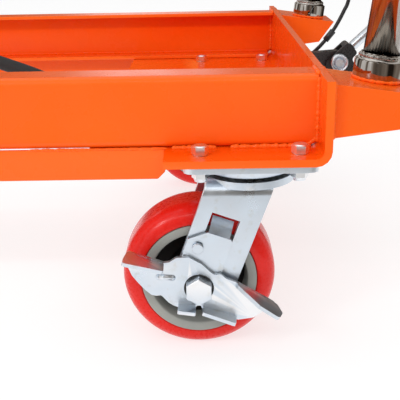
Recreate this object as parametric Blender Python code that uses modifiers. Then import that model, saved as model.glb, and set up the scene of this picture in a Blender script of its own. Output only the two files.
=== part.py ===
"""Rolling chassis of a push-handle dolly: a welded frame on two braked swivel casters and two
fixed casters, with a tube handle, a foot pedal with its small pump and a release lever.

+X points to the handle end, +Y to the right-hand side, +Z up. The floor is z = 0.
"""

import math

import bmesh
import bpy
from mathutils import Matrix, Vector

MM = 0.001
GAP = 0.3 * MM  # air between pieces that touch
DEG = math.pi / 180

# Overall sizes
FRAME_LENGTH = 780 * MM  # outside to outside of the two end plates
TRACK = 412 * MM  # between the middle planes of the left and right wheels
FRAME_OUTER_WIDTH = 446 * MM  # outside to outside of the rails
HANDLE_HEIGHT = 950 * MM
REAR_END_X = 262.5 * MM  # outer face of the handle-end plate
CENTRE_Y = 7 * MM  # frame's middle plane, off centre because the brake pedals stand out on one side

# Casters
WHEEL_DIAMETER = 127 * MM
WHEEL_WIDTH = 50.8 * MM
TREAD_SHOULDER = 15 * MM
CORE_RADIUS = 47.5 * MM
RECESS_RADIUS = 40.5 * MM
CORE_WIDTH = 52 * MM
WEB_THICKNESS = 9 * MM
HUB_RADIUS = 23 * MM
HUB_WIDTH = 52 * MM
BEARING_RADIUS = 15 * MM
AXLE_DIAMETER = 12 * MM
AXLE_HEX = 20 * MM
AXLE_HEAD = 12 * MM
NUT_HEIGHT = 10 * MM
SWIVEL_TRAIL = 41 * MM  # wheel centre behind the swivel axis
CASTER_HEIGHT = 167 * MM
TOP_PLATE_LENGTH = 103 * MM
TOP_PLATE_WIDTH = 101 * MM
TOP_PLATE_THICKNESS = 5 * MM
BOLT_SPACING_X = 76.2 * MM
BOLT_SPACING_Y = 68 * MM
BOLT_HOLE = 11 * MM
RACE_RADIUS = 35 * MM
RACE_DEPTH = 5.5 * MM
BALL_RING_HEIGHT = 5.4 * MM
CROWN_RADIUS = 38 * MM
KINGPIN_DIAMETER = 14 * MM
FORK_THICKNESS = 6 * MM
FORK_INNER_WIDTH = 58 * MM
FORK_BEND = 9 * MM
LEG_TILT = 20 * DEG  # legs lean from the axle towards the swivel axis
LEG_LEFT = 22.3 * MM  # leg edges either side of the axle, across the lean
LEG_RIGHT = 28.3 * MM
LEG_FOOT = 14 * MM
RIGID_LEG_HALF = 26 * MM

# Foot brake
BRAKE_PLATE = 3 * MM
LEVER_PLATE = 3.5 * MM
LEVER_HOLE = 24.2 * MM
LEFT_EAR_DEPTH = 24 * MM
RIGHT_EAR_DEPTH = 24 * MM
SHOE_TRAVEL = 2 * MM
WINDOW_LEFT = 10.5 * MM  # window in the leg for the brake shoe, across and along the leg
WINDOW_RIGHT = 12.8 * MM
WINDOW_BOTTOM = 41 * MM
WINDOW_TOP = 62.5 * MM
BRAKE_SCREW_ACROSS = -11.9 * MM
BRAKE_SCREW_ALONG = 31.8 * MM
BRAKE_SCREW = 5 * MM

# Frame
RAIL_HEIGHT = 57 * MM
RAIL_FLANGE = 31 * MM
RAIL_SHEET = 4 * MM
RAIL_BEND = 4 * MM
RAIL_NOTCH = 11 * MM  # corner cut off each rail end, clear of the plates' bends
SKIRT_DROP = 25 * MM
SKIRT_SHEET = 4 * MM
SKIRT_CHAMFER = 6 * MM
PLATE_SHEET = 6 * MM
PLATE_BEND = 9 * MM
PAD_OVERHANG = 52 * MM  # pad edge outside the wheel's middle plane
PAD_BEHIND = 66 * MM  # outer part of the pad, inboard of the swivel axis
INNER_DECK = 126 * MM  # the plate between the rails reaches further inboard
END_TO_AXIS = 60 * MM  # end plate's outer face to the caster's axis
END_PLATE_RISE = 1 * MM  # end plate's top above the rails

# Handle
ARM_LENGTH = 70 * MM
ARM_ROOT_HEIGHT = 41 * MM
ARM_WIDTH = 66 * MM
ARM_INSET = 8 * MM  # arm's outer side in from the pad's edge
ARM_DROP = 3.5 * MM  # arm's root below the end plate's top
ARM_SHEET = 4 * MM
ARM_TOP_SLOPE = 8 * DEG
ARM_UNDER_SLOPE = 7 * DEG
ARM_UNDERCUT = 18 * MM
HANDLE_TUBE = 28 * MM
HANDLE_SPACING = 416 * MM  # between the axes of the handle's legs
HANDLE_TILT = 7 * DEG
HANDLE_WALL = 2 * MM
HANDLE_BEND = 90 * MM
COLLAR_DIAMETER = 39 * MM
COLLAR_HEIGHT = 14 * MM
COLLAR_SHOULDER = 5 * MM
COLLAR_FROM_PLATE = 40.2 * MM
COLLAR_LIFT = 2.1 * MM  # height of the weld under a collar

# Foot pump and pedal
PUMP_WIDTH = 60 * MM
PUMP_LENGTH = 66 * MM
PUMP_TOP = 164 * MM
PUMP_BOTTOM = 128 * MM
PEDAL_PIVOT_FROM_PLATE = 44.5 * MM
PEDAL_PIVOT_HEIGHT = 201 * MM
PEDAL_BOLT = 12 * MM
PEDAL_ANGLE = 43 * DEG
LEVER_EAR = 4 * MM
LEVER_MOUTH = 14 * MM  # space between the pedal lever's ears
PEDAL_ROD = 10 * MM
PEDAL_ROD_OFFSET = 0.5 * MM
PEDAL_ROD_LENGTH = 149 * MM
PEDAL_LEVER_END = 20.5 * MM  # from the pivot, along the rod
PEDAL_TREAD_LENGTH = 60 * MM
PEDAL_TREAD_WIDTH = 100 * MM
PEDAL_TREAD_THICKNESS = 16 * MM
PISTON_DIAMETER = 14 * MM
PISTON_HEAD = 28 * MM
PISTON_FROM_PIVOT = 12 * MM
NOSE = 16 * MM  # the pedal lever's nose is this far in front of and below its pivot
NOSE_RADIUS = 5 * MM

# Cable, hand lever and hose
CABLE_DIAMETER = 4 * MM
CABLE_Y = 30 * MM  # the cable's plane, right of the frame's middle
HOSE_DIAMETER = 14 * MM
BRACKET_WIDTH = 30 * MM
BRACKET_WALL = 4 * MM
HAND_LEVER_LENGTH = 110 * MM
HAND_LEVER_THICKNESS = 8 * MM
HAND_LEVER_WIDTH = 14 * MM
HAND_LEVER_PIN = 4 * MM

ROUND = 40  # steps round a wheel
SMALL_ROUND = 24
TINY_ROUND = 16

# What follows from the sizes above
WHEEL_RADIUS = WHEEL_DIAMETER / 2
AXLE_Z = WHEEL_RADIUS
PAD_UNDER_Z = CASTER_HEIGHT
PAD_TOP_Z = PAD_UNDER_Z + PLATE_SHEET
RAIL_TOP_Z = PAD_TOP_Z + RAIL_HEIGHT
END_TOP_Z = RAIL_TOP_Z + END_PLATE_RISE
FRONT_END_X = REAR_END_X - FRAME_LENGTH
REAR_AXIS_X = REAR_END_X - END_TO_AXIS
FRONT_AXIS_X = FRONT_END_X + END_TO_AXIS
HALF_TRACK = TRACK / 2
HALF_WIDTH = HALF_TRACK + PAD_OVERHANG
WEB_OUTER = FRAME_OUTER_WIDTH / 2
LEG_OUTER = FORK_INNER_WIDTH / 2 + FORK_THICKNESS
CROWN_TOP_Z = CASTER_HEIGHT - TOP_PLATE_THICKNESS - RACE_DEPTH - BALL_RING_HEIGHT - 2 * GAP
CROWN_MID = CROWN_TOP_Z - FORK_THICKNESS / 2
BRAKE_FACE = LEG_OUTER + GAP + BRAKE_PLATE
LEVER_FACE = BRAKE_FACE + GAP + LEVER_PLATE
RAIL_LENGTH = FRAME_LENGTH - 2 * PLATE_SHEET - 2 * GAP
RAIL_MIDDLE_X = REAR_END_X - FRAME_LENGTH / 2
ARM_TOP_Z = END_TOP_Z - ARM_DROP
ARM_CENTRE = HALF_WIDTH - ARM_INSET - ARM_WIDTH / 2
PIVOT_X = REAR_END_X + PEDAL_PIVOT_FROM_PLATE

for old in list(bpy.data.objects):
    bpy.data.objects.remove(old, do_unlink=True)


def new_collection(name):
    found = bpy.data.collections.get(name) or bpy.data.collections.new(name)
    if found.name not in bpy.context.scene.collection.children:
        bpy.context.scene.collection.children.link(found)
    return found


PARTS = new_collection("wheel_dolly")
TOOLS = new_collection("cutters")


def new_material(name, colour, roughness, metallic):
    found = bpy.data.materials.new(name)
    found.use_nodes = True
    shader = found.node_tree.nodes["Principled BSDF"]
    shader.inputs["Base Color"].default_value = (*colour, 1)
    shader.inputs["Roughness"].default_value = roughness
    shader.inputs["Metallic"].default_value = metallic
    found.diffuse_color = (*colour, 1)
    return found


ORANGE = new_material("orange_powder_coat", (0.87, 0.13, 0.01), 0.35, 0.0)
ZINC = new_material("zinc_plated_steel", (0.75, 0.77, 0.80), 0.3, 1.0)
CHROME = new_material("chromed_tube", (0.8, 0.8, 0.8), 0.08, 1.0)
RED = new_material("red_polyurethane", (0.70, 0.02, 0.015), 0.25, 0.0)
IRON = new_material("painted_cast_iron", (0.25, 0.25, 0.25), 0.55, 0.0)
STEEL = new_material("plain_steel", (0.45, 0.45, 0.46), 0.35, 1.0)
BLACK = new_material("black_paint", (0.02, 0.02, 0.02), 0.4, 0.0)
RUBBER = new_material("black_rubber", (0.02, 0.02, 0.02), 0.7, 0.0)


def empty_at(name, x, y, z, parent=None):
    marker = bpy.data.objects.new(name, None)
    marker.location = (x, y, z)
    marker.parent = parent
    PARTS.objects.link(marker)
    return marker


def put(obj, material, parent=None, location=(0, 0, 0), rotation=(0, 0, 0), smooth=False):
    """Places a finished piece under its parent, with its material."""
    for users in list(obj.users_collection):
        users.objects.unlink(obj)
    PARTS.objects.link(obj)
    obj.parent = parent
    obj.location = location
    obj.rotation_euler = rotation
    obj.data.materials.clear()
    obj.data.materials.append(material)
    if smooth and obj.type == "MESH":
        obj.data.shade_smooth()
        obj.data.set_sharp_from_angle(angle=35 * DEG)
    return obj


def as_tool(obj):
    """Hides an object that only cuts or joins; it is drawn in the finished piece's own axes."""
    for users in list(obj.users_collection):
        users.objects.unlink(obj)
    TOOLS.objects.link(obj)
    obj.hide_render = True
    obj.display_type = "WIRE"
    return obj


def from_bmesh(name, shape):
    mesh = bpy.data.meshes.new(name)
    shape.to_mesh(mesh)
    shape.free()
    obj = bpy.data.objects.new(name, mesh)
    PARTS.objects.link(obj)
    return obj


def box(name, low, high):
    shape = bmesh.new()
    bmesh.ops.create_cube(shape, size=1)
    low, high = Vector(low), Vector(high)
    size = high - low
    bmesh.ops.transform(shape, matrix=Matrix.Translation((low + high) / 2), verts=shape.verts)
    for vertex in shape.verts:
        offset = vertex.co - (low + high) / 2
        vertex.co = (low + high) / 2 + Vector(offset[k] * size[k] for k in range(3))
    return from_bmesh(name, shape)


def cylinder(name, radius, start, end, steps=SMALL_ROUND, end_radius=None):
    """A round bar or cone between two points."""
    start, end = Vector(start), Vector(end)
    axis = end - start
    turn = axis.to_track_quat("Z", "Y").to_matrix().to_4x4()
    shape = bmesh.new()
    top = radius if end_radius is None else end_radius
    bmesh.ops.create_cone(shape, cap_ends=True, segments=steps, radius1=radius, radius2=top,
                          depth=axis.length, matrix=Matrix.Translation((start + end) / 2) @ turn)
    return from_bmesh(name, shape)


def rounded(points, radius, steps=3):
    """The corner points of a closed outline with each corner replaced by an arc."""
    out = []
    count = len(points)
    for i, corner in enumerate(points):
        corner = Vector(corner)
        before = (Vector(points[i - 1]) - corner)
        after = (Vector(points[(i + 1) % count]) - corner)
        limit = 0.45 * min(before.length, after.length)
        angle = before.angle(after)
        reach = min(radius / math.tan(angle / 2), limit)
        if reach < 0.2 * MM:
            out.append(tuple(corner))
            continue
        first = corner + before.normalized() * reach
        last = corner + after.normalized() * reach
        for k in range(steps + 1):
            t = k / steps
            point = first * (1 - t) ** 2 + corner * 2 * t * (1 - t) + last * t ** 2
            out.append(tuple(point))
    return out


def flat_plate(name, outline, thickness, holes=()):
    """A flat outline in local X and Y, thick along local Z, as a filled 2D curve made a mesh."""
    curve = bpy.data.curves.new(name, "CURVE")
    curve.dimensions = "2D"
    curve.fill_mode = "BOTH"
    curve.extrude = thickness / 2
    for ring in (outline, *holes):
        spline = curve.splines.new("POLY")
        spline.points.add(len(ring) - 1)
        for point, (x, y) in zip(spline.points, ring):
            point.co = (x, y, 0, 1)
        spline.use_cyclic_u = True
    return mesh_of_curve(name, curve)


def mesh_of_curve(name, curve):
    """A curve's own surface as a closed mesh object."""
    source = bpy.data.objects.new(name + "_curve", curve)
    bpy.context.scene.collection.objects.link(source)
    bpy.context.view_layer.update()
    seen = source.evaluated_get(bpy.context.evaluated_depsgraph_get())
    mesh = bpy.data.meshes.new_from_object(seen)
    mesh.name = name
    shape = bmesh.new()
    shape.from_mesh(mesh)
    bmesh.ops.remove_doubles(shape, verts=shape.verts, dist=0.00001)
    shape.to_mesh(mesh)
    shape.free()
    bpy.data.objects.remove(source)
    obj = bpy.data.objects.new(name, mesh)
    PARTS.objects.link(obj)
    return obj


def circle_points(x, y, radius, steps=TINY_ROUND):
    return [(x + radius * math.cos(2 * math.pi * k / steps), y + radius * math.sin(2 * math.pi * k / steps))
            for k in range(steps)]


def side_plate(name, outline, thickness, middle_y, holes=()):
    """A flat plate standing in the X-Z plane, its outline given as (x, z)."""
    plate = flat_plate(name, outline, thickness, holes)
    plate.data.transform(Matrix.Translation((0, middle_y, 0)) @ Matrix.Rotation(math.pi / 2, 4, "X"))
    return plate


def turned(name, profile, steps=ROUND):
    """A ring or disc about local Z; the closed profile (radius, height) runs down its outer side."""
    shape = bmesh.new()
    ring = [shape.verts.new((r, 0, h)) for r, h in profile]
    for a, b in zip(ring, ring[1:] + ring[:1]):
        shape.edges.new((a, b))
    obj = from_bmesh(name, shape)
    screw = obj.modifiers.new("turn", "SCREW")
    screw.axis = "Z"
    screw.angle = 2 * math.pi
    screw.steps = steps
    screw.render_steps = steps
    screw.use_merge_vertices = True
    screw.merge_threshold = 0.00001
    return obj


def bent_sheet(name, path, thickness, low, high, along="X"):
    """Sheet metal folded along a path of middle-line points, running from low to high along X or Y."""
    shape = bmesh.new()
    rows = []
    for a, b in path:
        if along == "X":
            rows.append([shape.verts.new((low, a, b)), shape.verts.new((high, a, b))])
        else:
            rows.append([shape.verts.new((a, low, b)), shape.verts.new((a, high, b))])
    for one, two in zip(rows, rows[1:]):
        shape.faces.new((one[0], one[1], two[1], two[0]))
    obj = from_bmesh(name, shape)
    wall = obj.modifiers.new("wall", "SOLIDIFY")
    wall.thickness = thickness
    wall.offset = 0
    wall.use_even_offset = True
    return obj


def folded(points, radius, steps=4):
    """An open path whose inner corners are replaced by arcs."""
    out = [tuple(points[0])]
    for before, corner, after in zip(points, points[1:], points[2:]):
        corner = Vector(corner)
        back = (Vector(before) - corner).normalized()
        ahead = (Vector(after) - corner).normalized()
        reach = radius / math.tan(back.angle(ahead) / 2)
        middle = corner + (back + ahead).normalized() * radius / math.sin(back.angle(ahead) / 2)
        first = (corner + back * reach - middle).normalized()
        last = (corner + ahead * reach - middle).normalized()
        for k in range(steps + 1):
            out.append(tuple(middle + first.slerp(last, k / steps) * radius))
    out.append(tuple(points[-1]))
    return out


def boolean(obj, tool, operation):
    """Cuts, joins or trims obj with another object, which becomes a hidden tool."""
    as_tool(tool)
    tool.parent = obj
    change = obj.modifiers.new(operation.lower(), "BOOLEAN")
    change.operation = operation
    change.solver = "EXACT"
    change.object = tool
    return obj


def tube(name, points, diameter, material, parent=None, resolution=2):
    """A round bar, cable or hose along points."""
    return put(bpy.data.objects.new(name, round_curve(name, points, diameter, resolution)), material, parent)


def swept(name, points, diameter, resolution=4):
    """The same as a mesh, for cutting."""
    return mesh_of_curve(name, round_curve(name, points, diameter, resolution))


def round_curve(name, points, diameter, resolution):
    curve = bpy.data.curves.new(name, "CURVE")
    curve.dimensions = "3D"
    curve.bevel_depth = diameter / 2
    curve.bevel_resolution = resolution
    curve.use_fill_caps = True
    spline = curve.splines.new("POLY")
    spline.points.add(len(points) - 1)
    for point, place in zip(spline.points, points):
        point.co = (*place, 1)
    return curve


def smooth_path(points, per_span=4):
    """Points of a Catmull-Rom curve through the given route."""
    route = [Vector(p) for p in points]
    route = [2 * route[0] - route[1], *route, 2 * route[-1] - route[-2]]
    out = []
    for a, b, c, d in zip(route, route[1:], route[2:], route[3:]):
        for k in range(per_span):
            t = k / per_span
            out.append(0.5 * (2 * b + (c - a) * t + (2 * a - 5 * b + 4 * c - d) * t * t
                              + (3 * b - a - 3 * c + d) * t ** 3))
    return [tuple(p) for p in [*out, route[-2]]]


def hexagon(name, across_flats, start, end):
    radius = across_flats / math.sqrt(3)
    return cylinder(name, radius, start, end, steps=6)


def leg_point(across, along):
    """(x, z) from the axle of a point given across and along the leaning fork leg."""
    return (across * math.cos(LEG_TILT) + along * math.sin(LEG_TILT),
            -across * math.sin(LEG_TILT) + along * math.cos(LEG_TILT))


# Wheels

def tread_profile():
    half = WHEEL_WIDTH / 2
    shoulder = [(WHEEL_RADIUS - TREAD_SHOULDER * (1 - math.cos(a)), half - TREAD_SHOULDER * (1 - math.sin(a)))
                for a in (k * math.pi / 10 for k in range(5, -1, -1))]
    inner = CORE_RADIUS + GAP
    return [(inner, half), *shoulder, *[(r, -h) for r, h in reversed(shoulder)], (inner, -half)]


def core_profile():
    rim, web, hub = CORE_WIDTH / 2, WEB_THICKNESS / 2, HUB_WIDTH / 2
    bore = BEARING_RADIUS + GAP
    upper = [(bore, hub), (HUB_RADIUS, hub), (HUB_RADIUS + 1.5 * MM, web), (RECESS_RADIUS - 1.5 * MM, web),
             (RECESS_RADIUS, rim), (CORE_RADIUS, rim)]
    return upper + [(r, -h) for r, h in reversed(upper)]


def bearing_profile():
    half = HUB_WIDTH / 2
    hole = AXLE_DIAMETER / 2 + GAP
    return [(hole, half), (BEARING_RADIUS, half), (BEARING_RADIUS, -half), (hole, -half)]


def build_wheel(label, axle):
    turn = (math.pi / 2, 0, 0)
    put(turned(label + "_tread", tread_profile()), RED, axle, rotation=turn, smooth=True)
    put(turned(label + "_wheel_core", core_profile(), 32), IRON, axle, rotation=turn, smooth=True)
    put(turned(label + "_bearing", bearing_profile(), SMALL_ROUND), STEEL, axle, rotation=turn, smooth=True)


def build_axle(label, axle, head_face, nut_face):
    """The axle bolt with its head on the left and its nut on the right."""
    bolt = cylinder(label + "_axle_bolt", AXLE_DIAMETER / 2, (0, -head_face - 0.5 * MM, 0),
                    (0, nut_face + NUT_HEIGHT + 3 * MM, 0))
    boolean(bolt, hexagon(label + "_axle_head", AXLE_HEX, (0, -head_face - AXLE_HEAD, 0), (0, -head_face, 0)),
            "UNION")
    put(bolt, ZINC, axle)
    nut = hexagon(label + "_axle_nut", AXLE_HEX, (0, nut_face, 0), (0, nut_face + NUT_HEIGHT, 0))
    boolean(nut, cylinder(label + "_nut_hole", AXLE_DIAMETER / 2 + GAP, (0, nut_face - MM, 0),
                          (0, nut_face + NUT_HEIGHT + MM, 0)), "DIFFERENCE")
    put(nut, ZINC, axle)


# Fork and swivel

def fork_sheet(label, low, high):
    """The folded sheet that makes both legs and the crown, before its sides are trimmed."""
    middle = FORK_INNER_WIDTH / 2 + FORK_THICKNESS / 2
    path = folded([(-middle, AXLE_Z - LEG_FOOT - 10 * MM), (-middle, CROWN_MID), (middle, CROWN_MID),
                   (middle, AXLE_Z - LEG_FOOT - 10 * MM)], FORK_BEND)
    return bent_sheet(label, path, FORK_THICKNESS, low, high)


def swivel_leg_outline():
    """Side view of the swivel fork from the swivel axis: a leaning strip with a rounded foot."""
    top = 120 * MM
    corners = [leg_point(-LEG_LEFT, top), leg_point(-LEG_LEFT, -2 * MM), leg_point(-0.4 * LEG_LEFT, -LEG_FOOT),
               leg_point(0.5 * LEG_RIGHT, -LEG_FOOT), leg_point(LEG_RIGHT, 2 * MM), leg_point(LEG_RIGHT, top)]
    return [(x - SWIVEL_TRAIL, z + AXLE_Z) for x, z in rounded(corners, 8 * MM)]


def build_swivel_fork(label, swivel):
    fork = fork_sheet(label + "_fork", -0.12, 0.12)
    reach = 2 * LEG_OUTER + 20 * MM
    boolean(fork, side_plate(label + "_fork_side", swivel_leg_outline(), reach, 0), "INTERSECT")
    boolean(fork, cylinder(label + "_crown", CROWN_RADIUS, (0, 0, CROWN_TOP_Z - FORK_THICKNESS),
                           (0, 0, CROWN_TOP_Z), ROUND), "UNION")
    boolean(fork, cylinder(label + "_crown_hole", KINGPIN_DIAMETER / 2 + GAP, (0, 0, CROWN_TOP_Z - 0.02),
                           (0, 0, CROWN_TOP_Z + 0.02)), "DIFFERENCE")
    boolean(fork, cylinder(label + "_axle_hole", AXLE_DIAMETER / 2 + GAP, (-SWIVEL_TRAIL, -reach / 2, AXLE_Z),
                           (-SWIVEL_TRAIL, reach / 2, AXLE_Z)), "DIFFERENCE")
    corners = [leg_point(-WINDOW_LEFT, WINDOW_BOTTOM), leg_point(WINDOW_RIGHT, WINDOW_BOTTOM),
               leg_point(WINDOW_RIGHT, WINDOW_TOP), leg_point(-WINDOW_LEFT, WINDOW_TOP)]
    window = side_plate(label + "_window", [(x - SWIVEL_TRAIL, z + AXLE_Z) for x, z in corners],
                        3 * FORK_THICKNESS, -LEG_OUTER + FORK_THICKNESS / 2)
    boolean(fork, window, "DIFFERENCE")
    x, z = leg_point(BRAKE_SCREW_ACROSS, BRAKE_SCREW_ALONG)
    boolean(fork, cylinder(label + "_screw_hole", BRAKE_SCREW / 2 + GAP,
                           (x - SWIVEL_TRAIL, -LEG_OUTER - MM, z + AXLE_Z),
                           (x - SWIVEL_TRAIL, -LEG_OUTER + FORK_THICKNESS + MM, z + AXLE_Z), TINY_ROUND), "DIFFERENCE")
    put(fork, ZINC, swivel)


def build_swivel_head(label, swivel):
    """What stays on the frame: top plate with its upper race, kingpin and the ring of balls."""
    under = CASTER_HEIGHT - TOP_PLATE_THICKNESS
    half_x, half_y = TOP_PLATE_LENGTH / 2, TOP_PLATE_WIDTH / 2
    outline = rounded([(-half_x, -half_y), (half_x, -half_y), (half_x, half_y), (-half_x, half_y)], 9 * MM)
    holes = [circle_points(sx * BOLT_SPACING_X / 2, sy * BOLT_SPACING_Y / 2, BOLT_HOLE / 2)
             for sx in (-1, 1) for sy in (-1, 1)]
    plate = flat_plate(label + "_top_plate", outline, TOP_PLATE_THICKNESS - GAP, holes)
    plate.data.transform(Matrix.Translation((0, 0, under + (TOP_PLATE_THICKNESS - GAP) / 2)))
    race = turned(label + "_upper_race",
                  [(KINGPIN_DIAMETER, under + MM), (RACE_RADIUS, under + MM), (RACE_RADIUS, under - 2.5 * MM),
                   (RACE_RADIUS - 3 * MM, under - RACE_DEPTH), (KINGPIN_DIAMETER, under - RACE_DEPTH)])
    boolean(plate, race, "UNION")
    boolean(plate, cylinder(label + "_kingpin_hole", KINGPIN_DIAMETER / 2 + GAP, (0, 0, under - 0.02),
                            (0, 0, under + 0.02)), "DIFFERENCE")
    put(plate, ZINC, swivel)
    low = CROWN_TOP_Z + GAP
    high = low + BALL_RING_HEIGHT
    ring = [(26 * MM, high), (RACE_RADIUS - 3 * MM, high), (RACE_RADIUS - 1.5 * MM, (low + high) / 2),
            (RACE_RADIUS - 3 * MM, low), (26 * MM, low)]
    put(turned(label + "_ball_ring", ring), STEEL, swivel, smooth=True)
    foot = CROWN_TOP_Z - FORK_THICKNESS - GAP
    pin = cylinder(label + "_kingpin", KINGPIN_DIAMETER / 2, (0, 0, foot - 6 * MM), (0, 0, CASTER_HEIGHT - 2 * MM))
    boolean(pin, hexagon(label + "_kingpin_nut", 22 * MM, (0, 0, foot - 9 * MM), (0, 0, foot)), "UNION")
    put(pin, ZINC, swivel)


def lever_outline():
    """Brake pedal plate seen from outside, from the axle: two arms and a flat belly."""
    return [(x * MM, z * MM) for x, z in (
        (-57, 33), (-27.5, 22.5), (-25.5, 23), (-17.5, 27.3), (-7.6, 27.1), (2.6, 21), (9.6, 13.8), (13, 11.2),
        (17.6, 12.3), (22, 8), (29.5, 5), (54, -10), (64.5, -16.5), (51.5, -21.8), (44, -27.4), (31.3, -29.2),
        (2, -18.6), (2, -15.5), (-2, -15.5), (-2.3, -16.8), (-17, -16.8), (-21, -15.2), (-25, -12.3),
        (-28.6, -8), (-30.3, -5.4), (-34.5, -6.2), (-38.2, -5.5), (-43, -1.2), (-48.2, 5), (-53.4, 12.1),
        (-58.5, 24))]


def ear(name, start, end, depth, thickness):
    """A strip folded out of the lever plate towards the outside, between two points of its edge."""
    start, end = Vector(start), Vector(end)
    down = Vector((end.y - start.y, start.x - end.x)).normalized() * thickness
    corners = [start, end, end + down, start + down]
    return side_plate(name, [tuple(c) for c in corners], depth + 1.5 * MM,
                      -LEVER_FACE - depth / 2 + 1.5 * MM / 2)


def build_brake(label, axle):
    hole = circle_points(0, 0, LEVER_HOLE / 2, SMALL_ROUND)
    lever = side_plate(label + "_brake_lever", lever_outline(), LEVER_PLATE, -LEVER_FACE + LEVER_PLATE / 2, [hole])
    sheet = 3 * MM
    boolean(lever, ear(label + "_left_ear", (-56.7 * MM, 33 * MM), (-27.5 * MM, 22.2 * MM), LEFT_EAR_DEPTH, sheet),
            "UNION")
    boolean(lever, ear(label + "_right_ear", (30 * MM, 4.6 * MM), (64 * MM, -16.3 * MM), RIGHT_EAR_DEPTH, sheet),
            "UNION")
    boolean(lever, ear(label + "_belly_tab", (-16.8 * MM, -14 * MM), (-2.8 * MM, -14 * MM), 17 * MM, sheet), "UNION")
    boolean(lever, ear(label + "_belly_flange", (3 * MM, -16.2 * MM), (30.5 * MM, -26 * MM), 14 * MM, sheet),
            "UNION")
    put(lever, ZINC, axle)

    across = [(-21.8, -13), (-21.8, 36), (-10.2, 45.3), (-8.7, 46.5), (10.6, 46.5), (12.4, 45), (13.4, 17), (13.4, -13)]
    outline = [leg_point(u * MM, v * MM) for u, v in across]
    x, z = leg_point(BRAKE_SCREW_ACROSS, BRAKE_SCREW_ALONG)
    slot_end = leg_point(BRAKE_SCREW_ACROSS, BRAKE_SCREW_ALONG + SHOE_TRAVEL)
    half = BRAKE_SCREW / 2 + 0.5 * MM
    middle_y = -BRAKE_FACE + BRAKE_PLATE / 2
    plate = side_plate(label + "_brake_plate", outline, BRAKE_PLATE, middle_y)
    shoe = shoe_strip(label + "_shoe")
    boolean(plate, shoe, "UNION")
    for tag, (first, last, radius) in {
            "axle_slot": ((0, 0), leg_point(0, SHOE_TRAVEL), AXLE_DIAMETER / 2 + 0.5 * MM),
            "screw_slot": ((x, z), slot_end, half)}.items():
        boolean(plate, slot_cutter(f"{label}_{tag}", first, last, radius, middle_y), "DIFFERENCE")
    put(plate, ZINC, axle)
    screw = cylinder(label + "_brake_screw", BRAKE_SCREW / 2, (x, -BRAKE_FACE - MM, z),
                     (x, -LEG_OUTER + FORK_THICKNESS, z), TINY_ROUND)
    boolean(screw, cylinder(label + "_screw_head", 4.6 * MM, (x, -BRAKE_FACE - GAP - 3 * MM, z),
                            (x, -BRAKE_FACE - GAP, z), TINY_ROUND), "UNION")
    put(screw, ZINC, axle)


def shoe_strip(name):
    """The brake shoe: a strip of the plate folded in through the leg's window, over the tread."""
    left, right = -8 * MM, 9.8 * MM
    start, end = 45 * MM, 56.5 * MM
    outer, inner = -BRAKE_FACE + BRAKE_PLATE / 2, -WHEEL_WIDTH / 2 + 0.4 * MM
    rise = Vector((0, inner - outer, end - start)).normalized()
    side = Vector((0, -rise.z, rise.y)) * BRAKE_PLATE / 2
    shape = bmesh.new()
    ends = []
    for y, v in ((outer, start), (inner, end)):
        for across in (left, right):
            x, z = leg_point(across, v)
            for sign in (1, -1):
                dx, dz = leg_point(0, side.z * sign)
                ends.append(shape.verts.new((x + dx, y + side.y * sign, z + dz)))
    bmesh.ops.convex_hull(shape, input=ends)
    return from_bmesh(name, shape)


def slot_cutter(name, first, last, radius, middle_y):
    """A round-ended slot through a side plate, from one centre to another."""
    first, last = Vector(first), Vector(last)
    heading = math.atan2(last.y - first.y, last.x - first.x)
    steps = 8
    outline = []
    for centre, begin in ((last, heading - math.pi / 2), (first, heading + math.pi / 2)):
        for k in range(steps + 1):
            angle = begin + math.pi * k / steps
            outline.append((centre.x + radius * math.cos(angle), centre.y + radius * math.sin(angle)))
    return side_plate(name, outline, 3 * BRAKE_PLATE, middle_y)


def build_swivel_caster(label, x, y):
    swivel = empty_at(label + "_swivel_axis", x, y, 0)
    axle = empty_at(label + "_axle", -SWIVEL_TRAIL, 0, AXLE_Z, swivel)
    build_swivel_head(label, swivel)
    build_swivel_fork(label, swivel)
    build_wheel(label, axle)
    build_axle(label, axle, BRAKE_FACE + GAP, LEG_OUTER + GAP)
    build_brake(label, axle)


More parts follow.
